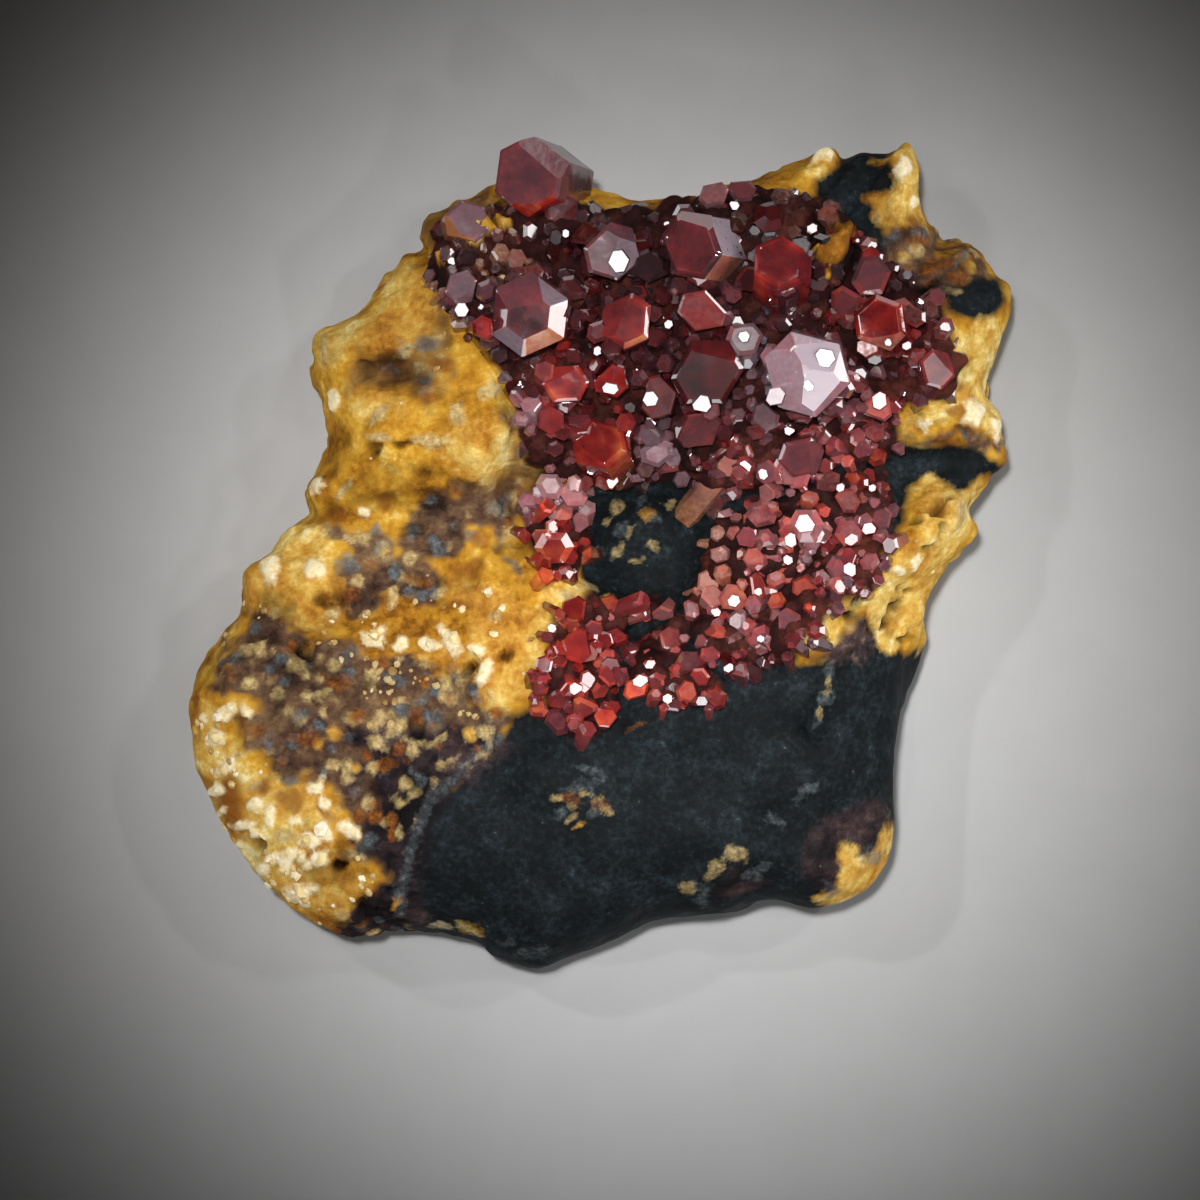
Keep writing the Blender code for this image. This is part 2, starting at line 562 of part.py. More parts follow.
def make_crusts(grown_rock):
    """Each crust is its skin and its crystals in one solid, cut clear of what is there already."""
    random = np.random.RandomState(CRUST_SEED)
    taken = list(LARGE_CRYSTALS.values())
    for crust in CRUSTS.values():
        taken += crust["placed"]
    grown = [crystal("room_" + name, place, FIT_GAP) for name, place in LARGE_CRYSTALS.items()]
    rooms = [grown_rock, helper_collection("large crystals", grown)]
    for name, crust in CRUSTS.items():
        thrown = scattered(crust, taken, random)
        taken += thrown
        places = crust["placed"] + thrown
        prisms = [crystal(f"{name}_prism_{k:02d}", place) for k, place in enumerate(places)]
        grown = [crystal(f"{name}_room_{k:02d}", place, FIT_GAP) for k, place in enumerate(places)]
        skin = crust_skin(name, crust["edge"])
        grown.append(grown_copy(skin))
        boolean(skin, "UNION", helper_collection(name + " crystals", prisms))
        for room in rooms:
            boolean(skin, "DIFFERENCE", room)
        keep_largest_piece(skin)
        rooms.append(helper_collection(name, grown))


def main():
    for obj in list(bpy.data.objects):
        bpy.data.objects.remove(obj)
    grown_rock = grown_copy(make_rock())
    for name, place in LARGE_CRYSTALS.items():
        boolean(crystal(name, place, material_name="crystal"), "DIFFERENCE", grown_rock)
    make_crusts(grown_rock)


main()
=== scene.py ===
import math

import bmesh
import bpy
import numpy as np
from mathutils import Matrix, Vector


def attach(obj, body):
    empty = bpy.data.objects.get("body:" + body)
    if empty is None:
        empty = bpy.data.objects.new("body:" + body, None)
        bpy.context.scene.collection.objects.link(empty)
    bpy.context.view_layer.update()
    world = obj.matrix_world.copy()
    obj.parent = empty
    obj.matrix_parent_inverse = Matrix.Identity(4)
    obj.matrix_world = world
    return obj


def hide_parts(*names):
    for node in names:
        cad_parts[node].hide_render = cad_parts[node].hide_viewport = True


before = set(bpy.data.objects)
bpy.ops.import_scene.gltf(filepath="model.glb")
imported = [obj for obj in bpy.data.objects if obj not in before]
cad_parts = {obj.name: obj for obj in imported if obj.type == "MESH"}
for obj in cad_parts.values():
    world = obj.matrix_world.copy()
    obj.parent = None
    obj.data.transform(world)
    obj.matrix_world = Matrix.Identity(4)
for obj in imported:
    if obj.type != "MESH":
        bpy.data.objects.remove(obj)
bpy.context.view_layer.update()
print("frame loaded:", len(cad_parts), "nodes")

specimen = bpy.data.collections.new("specimen")  # what the soft boxes light
bpy.context.scene.collection.children.link(specimen)
mm = 0.001  # every length below is in millimetres, and becomes metres in the mesh


# noise, whole arrays at a time

def latticeValue(ix, iy, iz, pattern):
    # a fixed number from -1 to 1 for each whole-number point: a scrambled whole number
    mixed = (ix * 374761393 + iy * 668265263 + iz * 1440662683 + pattern * 974634777) & 0xFFFFFFFF
    mixed = ((mixed ^ (mixed >> 13)) * 1274126177) & 0xFFFFFFFF
    return ((mixed ^ (mixed >> 16)) & 0xFFFF) / 32767.5 - 1.0


def lumps(x, y, z, height, width, pattern):
    # lattice numbers blended with a smooth fade between the eight corners of each cell
    cell = [np.floor(v / width).astype(np.int64) for v in (x, y, z)]
    part = [v / width - c for v, c in zip((x, y, z), cell)]
    fx, fy, fz = (t * t * t * (t * (6 * t - 15) + 10) for t in part)
    total = 0.0
    for corner in range(8):
        dx, dy, dz = corner & 1, corner >> 1 & 1, corner >> 2
        weight = (fx if dx else 1 - fx) * (fy if dy else 1 - fy) * (fz if dz else 1 - fz)
        total = total + weight * latticeValue(cell[0] + dx, cell[1] + dy, cell[2] + dz, pattern)
    return height * total


def layered(x, y, z, layers, start=0):
    # several sizes of lumps added up, each with its height, width and pattern
    return sum((lumps(x, y, z, *layer) for layer in layers), start)


def granules(x, y, z, width, pattern):
    # one scattered point per cell: the distance to the nearest, in cells, and its own number
    at = [v / width for v in (x, y, z)]
    cell = [np.floor(v).astype(np.int64) for v in at]
    nearest, number = np.full(x.shape, 9.0), np.zeros(x.shape)
    for corner in range(27):
        near = [cell[0] + corner // 9 - 1, cell[1] + corner // 3 % 3 - 1, cell[2] + corner % 3 - 1]
        away = sum((c + 0.5 + 0.42 * latticeValue(*near, pattern + k) - v) ** 2
                   for k, (c, v) in enumerate(zip(near, at)))
        away = np.sqrt(away)
        number = np.where(away < nearest, latticeValue(*near, pattern + 3), number)
        nearest = np.minimum(nearest, away)
    return nearest, number


def smoothStep(low, high, v):
    # 0 at low and 1 at high, with a smooth cubic between
    t = np.clip((v - low) / (high - low), 0, 1)
    return t * t * (3 - 2 * t)


def unit(v):
    # the same way at length 1
    return v / np.linalg.norm(v, axis=-1, keepdims=True)


# the rock's form, the same as the solid's

rockForm = {
    "plateau": 9.2, "shoulder": 9.0,  # the face's height, and how squarely it turns down
    "rimHeight": 5.6, "rimWander": 1.6, "rimLumpWidth": 7.0, "rimPattern": 3,
    "rimReach": 12.0,  # of the circle on which the rim's lumps are read
    "meanReach": 19.0,  # from the middle to the rim
    "undercut": 0.06, "undercutPower": 1.5,  # how far the side draws in on its way down
    "sideWave": (0.5, 2.4),  # how the side's lumps swell and fade on its way down, in radians
    "solidRows": 4,
    "breaks": [  # the way each faces in degrees, how far it faces down, how deep it bites
        (4, 24, -0.3), (33, 38, 0.2), (58, 20, 0.0), (92, 33, -0.2), (118, 46, 0.3),
        (149, 26, 0.2), (172, 40, -0.4), (196, 18, 0.1), (218, 36, -0.1), (247, 24, -0.2),
        (270, 42, -0.5), (298, 30, 0.1), (322, 44, 0.3), (345, 34, -0.2),
    ],
    "outline": [  # widest line, anticlockwise from the lower right corner
        (14.1, -16.1), (14.8, -14.0), (14.8, -11.8), (15.0, -8.7), (15.35, -5.7), (16.1, -3.8),
        (16.45, -2.1), (17.4, -0.8), (18.95, 1.0), (18.7, 2.2), (19.7, 3.7), (20.4, 4.65),
        (20.1, 5.7), (20.2, 6.8), (19.3, 8.2), (19.9, 10.2), (20.65, 12.95), (19.9, 13.95),
        (18.9, 15.2), (18.25, 15.65), (17.05, 15.6), (16.3, 17.0), (16.05, 18.4), (16.2, 19.5),
        (15.5, 20.6), (14.7, 20.1), (13.2, 20.0), (12.15, 19.55), (11.5, 20.25), (9.85, 19.4),
        (8.1, 18.8), (5.8, 18.45), (4.85, 17.95), (2.5, 17.65), (0.0, 18.2), (-1.2, 18.7),
        (-2.6, 19.4), (-4.2, 19.35), (-5.3, 18.5), (-7.1, 17.55), (-8.5, 17.0), (-9.15, 15.9),
        (-8.95, 15.35), (-10.0, 15.0), (-10.7, 13.6), (-12.5, 11.9), (-14.1, 11.1),
        (-14.55, 10.4), (-14.2, 8.6), (-13.7, 6.3), (-13.8, 5.1), (-14.65, 3.3), (-14.45, 1.9),
        (-15.6, 1.1), (-16.65, -0.2), (-17.9, -1.0), (-17.9, -3.1), (-19.3, -4.9),
        (-20.2, -6.3), (-20.65, -8.0), (-20.2, -10.6), (-19.35, -12.85), (-17.85, -15.35),
        (-15.8, -17.6), (-13.6, -18.85), (-11.9, -19.05), (-9.45, -18.95), (-6.4, -19.65),
        (-5.4, -20.4), (-3.4, -21.0), (-1.8, -20.5), (0.6, -19.6), (2.8, -18.55), (6.2, -18.15),
        (8.5, -17.45), (10.75, -17.8), (12.8, -17.35),
    ],
    "faceLumps": [(0.55, 6.0, 11), (0.4, 2.8, 12)],  # height, width, pattern
    "sideLumps": [(0.8, 5.0, 21), (0.6, 2.6, 22)],
    "swells": [  # x, y, half length, half width, turn, height, steepness
        (2.9, -13.2, 12.8, 8.2, 10, 2.3, 3.0), (4.6, 12.0, 12.6, 6.2, 4, 2.0, 2.0),
        (10.5, 0.5, 4.0, 5.0, 20, 1.5, 1.5), (2.6, 0.2, 3.4, 3.0, 0, -2.6, 1.5),
        (1.5, -4.4, 1.9, 1.1, 0, -1.6, 1.0), (-4.4, -3.4, 3.2, 3.6, 0, 2.1, 1.5),
        (-9.4, 7.4, 5.2, 6.4, -5, 1.0, 3.0), (-5.7, 5.6, 1.6, 1.6, 0, 1.0, 1.0),
        (-4.4, 4.6, 0.7, 3.2, 0, -1.4, 1.0), (-10.0, 9.0, 4.4, 0.9, 4, -0.7, 1.0),
        (-8.4, 2.2, 5.2, 0.9, 14, -0.8, 1.0), (-14.6, -2.4, 3.0, 1.5, 0, 1.0, 1.0),
        (-15.2, -4.3, 3.4, 0.7, -5, -0.9, 1.0), (-16.3, -11.2, 3.2, 5.6, 10, 0.7, 1.0),
        (-14.6, -15.4, 3.0, 2.4, -30, 0.8, 1.0), (17.4, 8.0, 2.4, 2.0, 0, 1.3, 1.0),
        (16.3, 4.4, 2.6, 1.5, 0, -1.3, 1.5), (12.8, 17.9, 2.4, 1.7, -10, -1.2, 1.5),
        (13.9, 15.4, 0.9, 2.2, 40, -0.9, 1.0), (13.0, -14.9, 1.9, 2.3, 0, -0.6, 1.0),
    ],
    "ridges": [  # points along it, half width, height
        ([(10.2, -4.4), (11.8, -2.6), (14.6, -0.6), (17.9, 2.4)], 1.3, 1.9),
        ([(12.9, -3.8), (11.6, -5.8), (10.6, -8.7)], 0.55, 0.6),
        ([(15.6, 19.6), (16.0, 16.6), (18.6, 14.6), (20.0, 12.6)], 1.0, 1.0),
        ([(3.6, -17.0), (7.2, -15.2)], 0.5, 0.5),
    ],
}


def smoothLoop(points, perSpan=12):
    # closed Catmull-Rom curve: a cubic between each two points, aimed by the next ones
    p = np.array(points, float)
    before, after, beyond = np.roll(p, 1, 0), np.roll(p, -1, 0), np.roll(p, -2, 0)
    t = np.linspace(0, 1, perSpan, endpoint=False)[None, :, None]
    curve = 0.5 * (2 * p[:, None] + (after - before)[:, None] * t
                   + (2 * before - 5 * p + 4 * after - beyond)[:, None] * t**2
                   + (3 * p - before - 3 * after + beyond)[:, None] * t**3)
    return curve.reshape(-1, 2)


widest = smoothLoop(rockForm["outline"])


def outlineAt(u):
    # the point at a share of the way round the widest line
    loop = np.vstack([widest, widest[:1]])
    along = np.concatenate([[0], np.cumsum(np.hypot(*np.diff(loop, axis=0).T))])
    at = np.mod(u, 1.0) * along[-1]
    return np.interp(at, along, loop[:, 0]), np.interp(at, along, loop[:, 1])


def shareOfWayOut(x, y):
    # distance from the middle over the widest line's distance in the same direction
    angle = np.arctan2(widest[:, 1], widest[:, 0])
    order = np.argsort(angle)
    reach = np.hypot(*widest.T)[order]
    reach = np.interp(np.arctan2(y, x), angle[order], reach, period=2 * math.pi)
    return np.clip(np.hypot(x, y) / reach, 0, 1)


def rimHeight(x, y):
    # lumps read where each point's direction crosses a circle
    far = np.maximum(np.hypot(x, y), 1e-6) / rockForm["rimReach"]
    return rockForm["rimHeight"] + lumps(x / far, y / far, 0 * x, rockForm["rimWander"],
                                         rockForm["rimLumpWidth"], rockForm["rimPattern"])


def swell(x, y, atX, atY, halfLength, halfWidth, turn, height, steepness):
    # a bell in two directions, its exponent raised to a power to flatten its top
    c, s = math.cos(math.radians(turn)), math.sin(math.radians(turn))
    dx, dy = x - atX, y - atY
    q = ((dx * c + dy * s) / halfLength) ** 2 + ((dy * c - dx * s) / halfWidth) ** 2
    return height * np.exp(-math.log(2) * q**steepness)


def lineDistance(x, y, points):
    # distance to the nearest piece of a broken line
    nearest = np.full(np.shape(x), np.inf)
    for (ax, ay), (bx, by) in zip(points, points[1:]):
        span = (bx - ax) ** 2 + (by - ay) ** 2
        t = np.clip(((x - ax) * (bx - ax) + (y - ay) * (by - ay)) / span, 0, 1)
        nearest = np.minimum(nearest, np.hypot(x - ax - t * (bx - ax), y - ay - t * (by - ay)))
    return nearest


def rockTop(x, y, share=None):
    # plateau + swells + ridges + lumps, turned over to the rim by a superellipse
    x, y = np.asarray(x, float), np.asarray(y, float)
    if share is None:
        share = shareOfWayOut(x, y)
    face = rockForm["plateau"] + sum(swell(x, y, *s) for s in rockForm["swells"])
    for points, halfWidth, height in rockForm["ridges"]:
        face = face + height * np.exp(-((lineDistance(x, y, points) / halfWidth) ** 2))
    face = face + layered(x, y, 0 * x, rockForm["faceLumps"])
    rim = rimHeight(x, y)
    return rim + (face - rim) * np.sqrt(1 - share ** rockForm["shoulder"])


def shoulderRings(rings):
    # shares of the way out at which equal steps along the face and shoulder fall
    share = np.sin(np.linspace(0, math.pi / 2, 400))
    drop = np.sqrt(1 - share ** rockForm["shoulder"])
    drop = (rockForm["plateau"] - rockForm["rimHeight"]) * drop
    steps = np.hypot(np.diff(share) * rockForm["meanReach"], np.diff(drop))
    along = np.concatenate([[0], np.cumsum(steps)])
    return np.interp(np.linspace(0, along[-1], rings + 1), along, share)


def brokenSide(points):
    # what stands out past each tilted plane is pushed back on to it
    for facing, down, bite in rockForm["breaks"]:
        level, down = math.radians(facing), math.radians(down)
        out = np.array([math.cos(level), math.sin(level), 0.0])
        reach = (widest @ out[:2]).max() - bite
        reach = reach - (rockForm["rimHeight"] - points[..., 2:]) * math.tan(down)
        points = points - np.maximum(points @ out[:, None] - reach, 0) * out
    return points


# mesh and material helpers

def linear(hexColour):
    # sRGB hex to linear
    values = [int(hexColour[k:k + 2], 16) / 255 for k in (1, 3, 5)]
    return [v / 12.92 if v <= 0.04045 else ((v + 0.055) / 1.055) ** 2.4 for v in values] + [1.0]


def perMm(width):
    return 1 / (width * mm)  # texture scale whose features are about this wide


def addNode(tree, kind, inputs=(), stops=(), **settings):
    # adds one node: its settings, its sockets' values or links, and a ramp's stops. A node
    # given as an input stands for its first output
    node = tree.nodes.new("ShaderNode" + kind)
    for key, value in settings.items():
        setattr(node, key, value)
    for key, value in dict(inputs).items():
        value = value.outputs[0] if isinstance(value, bpy.types.Node) else value
        if isinstance(value, bpy.types.NodeSocket):
            tree.links.new(value, node.inputs[key])
        else:
            node.inputs[key].default_value = value
    for k, (at, colour) in enumerate(stops):
        stop = node.color_ramp.elements[k] if k < 2 else node.color_ramp.elements.new(at)
        stop.position, stop.color = at, linear(colour)
    return node


def newMaterial(name, **surface):
    material = bpy.data.materials.new(name)
    material.use_nodes = True
    shader = material.node_tree.nodes["Principled BSDF"]
    for key, value in surface.items():
        shader.inputs[key].default_value = value
    return material, material.node_tree, shader


def addColours(mesh, colours, domain="POINT"):
    for label, values in colours.items():
        attribute = mesh.attributes.new(label, "FLOAT_COLOR", domain)
        attribute.data.foreach_set("color", np.asarray(values, np.float32).ravel())


def makePiece(name, points, faces, material, colours, sharpAngle=None):
    mesh = bpy.data.meshes.new(name)
    mesh.from_pydata((points * mm).tolist(), [], faces)
    addColours(mesh, colours)
    mesh.materials.append(material)
    if sharpAngle is not None:
        mesh.shade_smooth()
        mesh.set_sharp_from_angle(angle=math.radians(sharpAngle))
    piece = bpy.data.objects.new(name, mesh)
    specimen.objects.link(piece)
    return piece


def shellFaces(levels, around):
    # quads between rings that climb, and a fan to a pole at each end
    ring = np.arange(levels * around).reshape(levels, around)
    low, high = ring[:-1], ring[1:]
    quads = np.stack([low, np.roll(low, -1, 1), np.roll(high, -1, 1), high], -1).reshape(-1, 4)
    first, last = levels * around, levels * around + 1
    start = np.stack([np.full(around, first), np.roll(ring[0], -1), ring[0]], -1)
    end = np.stack([ring[-1], np.roll(ring[-1], -1), np.full(around, last)], -1)
    return quads, np.concatenate([start, end])


def repeatedFaces(quads, fans, size, count):
    # one shape's faces again for each copy, numbered on by the shape's number of points
    faces = []
    for offset in range(0, size * count, size):
        faces += (quads + offset).tolist() + (fans + offset).tolist()
    return faces


# the rock's surface zones: drawn outlines in mm

zoneForm = {
    "dark": [
        [(-5, -9.3), (-6.2, -10), (-7.2, -11.2), (-8.5, -12.4), (-9.5, -14.9), (-9.8, -16.4),
         (-10, -18.2), (-9.2, -19.2), (-7.2, -20.7), (-4, -22.4), (3, -22.4), (9.5, -19.2),
         (12, -18.7), (15.2, -17.9), (16.2, -14.9), (16.5, -10.9), (17.2, -7.4), (17, -4.7),
         (15.2, -4.9), (14, -4.5), (13.4, -3.7), (11.9, -5), (9.9, -5.5), (9.8, -4.4),
         (10.3, -2.8), (11.5, -1.9), (13.1, -1), (14.5, 0.3), (15.3, 1.6), (15.6, 3.1),
         (16.2, 3.7), (17, 3.6), (17.5, 3.2), (18.2, 2.8), (19.2, 3.8), (20.6, 3.6), (20.6, 4.3),
         (19.2, 5), (17.5, 5.6), (16.2, 5.3), (14.8, 5.7), (13, 6.3), (10.5, 5.6), (8, 4.8),
         (5, 4.8), (2.5, 4.5), (0, 4.3), (-0.8, 3.6), (-0.6, 1.6), (-1, -0.4), (-0.8, -1.9),
         (-1.2, -2.8), (-2.4, -3.2), (-2.6, -5.4), (-2.8, -7.4), (-4, -8)],
        [(10.9, 18.8), (11.8, 19.3), (12.2, 20), (13.1, 20.3), (15, 20.6), (14.5, 19.6),
         (15.2, 18.7), (14.8, 18.1), (13.8, 18), (13.2, 17.6), (14, 16.8), (14.2, 15.8),
         (14, 14.8), (13.2, 15.6), (12.5, 16.3), (11.5, 16.8), (10.9, 17.6)],
        [(17.5, 13.3), (18.8, 13.7), (20, 13.8), (20.4, 12.6), (19.5, 11.8), (18.8, 11.5),
         (17.8, 11.8), (17, 12.2)],
    ],
    "brown": [
        [(-5.1, 6.6), (-4.2, 7), (-3.5, 5.6), (-3.4, 4.1), (-3.9, 2.6), (-4.4, 1.6), (-5.2, 2.3),
         (-5.8, 3), (-5.1, 4.1), (-4.8, 5.1)],
        [(-13.1, 8.2), (-12.8, 9), (-12.4, 10), (-11.9, 10.4), (-11.4, 10), (-10.5, 10),
         (-9.8, 10.3), (-9, 10.1), (-8.9, 11.1), (-8.6, 12), (-8, 12.1), (-7.4, 11.7),
         (-7.1, 10.8), (-7.4, 10.1), (-7.6, 9), (-8, 8), (-8.6, 7.6), (-9.5, 8), (-10.2, 8.3),
         (-11, 8.2), (-11.9, 8), (-12.4, 7.5), (-12.9, 7.6)],
        [(-8.6, 1.8), (-8, 2.6), (-7.2, 3.2), (-6.5, 3.7), (-5.5, 4.1), (-5, 3.5), (-4.8, 2.6),
         (-4.4, 1.7), (-5, 0.6), (-5.5, 1.3), (-6.5, 1.2), (-7.2, 0.6), (-8, 0), (-8.8, -0.4),
         (-9.8, -1.2), (-10.2, -0.4), (-10, 0.3), (-9.5, 1.1)],
        [(-14.1, 1.2), (-13, 1.6), (-12.4, 1.1), (-11.2, 1.3), (-10.5, 0.3), (-10, -0.4),
         (-9, -0.4), (-8, -1.4), (-8.5, -2.4), (-9.5, -1.9), (-10.2, -2.4), (-11, -2.9),
         (-11.4, -3.7), (-12.2, -3.4), (-13, -2.4), (-13.2, -0.9), (-13.1, 0.1), (-13.8, 0.3)],
        [(-18.8, -5.2), (-18.2, -4), (-17.5, -2.9), (-16.5, -2.8), (-15.5, -3.5), (-14, -4),
         (-12.8, -4.4), (-11.8, -4.9), (-10, -5.2), (-8.5, -5.5), (-7.5, -5.8), (-6.5, -6),
         (-6, -6.9), (-5, -7.7), (-4.8, -8.4), (-5.2, -9.4), (-6, -10.2), (-7.2, -10.7),
         (-8.5, -11.9), (-9.8, -13.4), (-10.2, -14.9), (-10.4, -16.4), (-10, -17.7),
         (-9.2, -19.7), (-10.2, -19.8), (-12.5, -19.7), (-13.9, -18.9), (-12.5, -17.7),
         (-11.4, -16.9), (-10.8, -16.2), (-11.5, -15.4), (-12.8, -15.9), (-13.1, -14.9),
         (-12, -14.3), (-12.5, -13.2), (-13.2, -12.4), (-13.8, -11.7), (-15, -10.9),
         (-15.8, -11.7), (-16.2, -11.2), (-16.5, -10.4), (-17.5, -9.7), (-17.8, -8.4),
         (-16.8, -8.2), (-17.1, -7.4), (-18.4, -7.2), (-19.5, -7.4), (-20, -6.7), (-19.5, -5.9)],
        [(14, 15.1), (14.8, 16.3), (15.8, 16.8), (16.8, 16.1), (17.2, 15.3), (18.8, 15.3),
         (19.5, 14.5), (19.2, 13.3), (18, 13.1), (17, 12.6), (16, 13.1), (15.2, 13.6),
         (14.5, 14.2)],
        [(15, 6), (16.2, 5.7), (17.2, 6.5), (18.2, 6.8), (19.2, 6.1), (20.4, 5.6), (20.2, 4.8),
         (19.2, 5), (18, 5.5), (16.5, 5.2)],
        [(-9, 16.3), (-7.2, 17.6), (-5.5, 18.3), (-5, 17.1), (-6, 15.8), (-8, 15.1), (-9, 15.1)],
    ],
    "maroon": [
        [(-4.5, -9.7), (-5.8, -11.4), (-7.2, -12.4), (-8.5, -13.7), (-9, -14.7), (-9.2, -16.4),
         (-8.8, -19.7), (-12.5, -19.7), (-13.8, -18.9), (-12.2, -17.7), (-10.8, -16.4),
         (-11.2, -15.4), (-12.2, -14.9), (-11.8, -14.2), (-11, -12.4), (-11.4, -11.4),
         (-12.8, -11.9), (-12.5, -10.9), (-11.5, -9.7), (-12.5, -9.2), (-11, -8.7),
         (-10.2, -9.2), (-8, -8.9), (-6.2, -8.4), (-5.5, -8.2)],
        [(10, -15.5), (10.3, -14.2), (11.1, -13.4), (12.2, -13), (13.4, -12.3), (14.5, -12.4),
         (14.8, -13.9), (14.4, -15.7), (13.4, -16), (12.5, -16.4), (11.8, -17.2), (10.9, -17),
         (10.3, -16.4)],
        [(6.7, -15.5), (8, -15.8), (8.2, -16.8), (7.1, -17.4), (5.8, -17.3), (5.9, -16.4)],
        [(11.3, -4.9), (12, -4), (12.7, -3.2), (13.7, -3.1), (14.2, -4.1), (13.4, -4.7),
         (12.6, -5.3), (11.8, -5.8), (11.1, -5.6)],
        [(10, -5.3), (11.1, -4.8), (11.9, -4.9), (11.3, -5.6), (10.3, -5.8)],
    ],
    "yellow": [
        [(-13.9, 11.1), (-12.8, 11.6), (-11.2, 12.6), (-10.2, 14.1), (-10.2, 15.3), (-9.2, 14.5),
         (-9.2, 13.3), (-8.5, 12.6), (-8.6, 11.6), (-9.2, 10.6), (-10.2, 9.8), (-11.2, 10.1),
         (-12, 10.6), (-12.8, 10.1), (-13.2, 9.1), (-13.9, 9), (-14.8, 10.3)],
        [(-12.8, 7.2), (-12.1, 7.9), (-10.8, 7.8), (-10, 8), (-10.1, 7.2), (-11, 6.6),
         (-12.2, 6.7)],
        [(-7.4, 6), (-6, 6.8), (-5, 6.3), (-4.7, 5.1), (-5.1, 4.2), (-6, 3.9), (-7.2, 4.1),
         (-8.1, 4.8)],
        [(-7.2, -1.9), (-6, -1.3), (-4.5, -1.9), (-3.5, -2.4), (-2.8, -1.2), (-2, -0.9),
         (-1.1, -1.8), (-1.4, -2.7), (-2.6, -3), (-3.1, -4.4), (-2.6, -5.4), (-3.4, -7),
         (-5, -7.7), (-6, -7.4), (-5.5, -6.2), (-6, -5.7), (-8, -5.8), (-8.9, -5.2), (-8, -4.4),
         (-6.9, -4.4), (-6.6, -3)],
        [(14.9, 6.8), (16.8, 7.8), (17.5, 8.6), (17.2, 9.6), (17.5, 10.8), (18.8, 11.5),
         (20, 11.3), (19.8, 9.1), (20, 7.8), (20.6, 6.6), (20.5, 5.5), (19.2, 6), (18.2, 6.8),
         (17.2, 6.8), (16.2, 6.1), (15.2, 6)],
        [(13.5, -1.4), (14.8, -0.4), (16, 0.6), (15.6, 2.6), (16.5, 3.8), (17.1, 3.2), (18, 2.6),
         (19.2, 3.6), (20, 3.1), (19.2, 1.6), (18.2, 0.3), (17.4, -0.9), (16.8, -2.7),
         (16.4, -4.2), (15.2, -4.8), (14.2, -4.3), (14, -3.2), (12.8, -2.9), (11.8, -3.7),
         (11.1, -4.9), (10, -5.4), (9.8, -4.4), (10.3, -2.9), (11.5, -2), (12.5, -1.7)],
        [(14.7, 20.2), (15.6, 20.8), (16.6, 20.1), (16.1, 18.1), (16.5, 16.8), (15.2, 16.3),
         (14.2, 16.8), (14.5, 17.8), (15.2, 18.3), (14.9, 19.3)],
        [(-21, -7.4), (-20, -6.9), (-19.2, -7.7), (-18.8, -9.4), (-18, -10.4), (-17, -10.9),
         (-15.5, -11.9), (-14.5, -11.9), (-13.5, -12.9), (-12.8, -13.9), (-13.2, -14.9),
         (-13.5, -15.9), (-12.5, -15.9), (-10.8, -16.4), (-11.5, -17), (-12.5, -18),
         (-13.8, -19.2), (-15.5, -18.7), (-17, -16.4), (-18.2, -14.9), (-19.8, -12.4),
         (-21, -10.4)],
        [(-18.2, -1.2), (-16.9, 0.1), (-16, 0.6), (-15, 1.2), (-14, 1.3), (-13.2, 0.3),
         (-13.1, -0.4), (-13.4, -2.4), (-13, -3.4), (-14.5, -3.9), (-16, -3.4), (-17, -2.9),
         (-18.2, -2.7)],
        [(10.8, 19.6), (11.5, 20.3), (12.1, 20), (11.3, 19.2), (10.6, 19)],
        [(10.8, -17.5), (11.1, -16.9), (11.9, -16.6), (12.1, -15.8), (11.9, -15), (12.3, -14.8),
         (12.6, -15.5), (13, -15.9), (13.8, -15.7), (14.4, -14.9), (14.2, -14.2), (14.5, -13.7),
         (14.8, -14.4), (14.7, -15.8), (14, -16.9), (12.9, -17.6), (11.8, -18)],
    ],
}
paleRim = zoneForm["yellow"][7]  # along the lower left
paintedHighlightArc = zoneForm["dark"][0][:7]  # dark rock's left edge, under a painted highlight
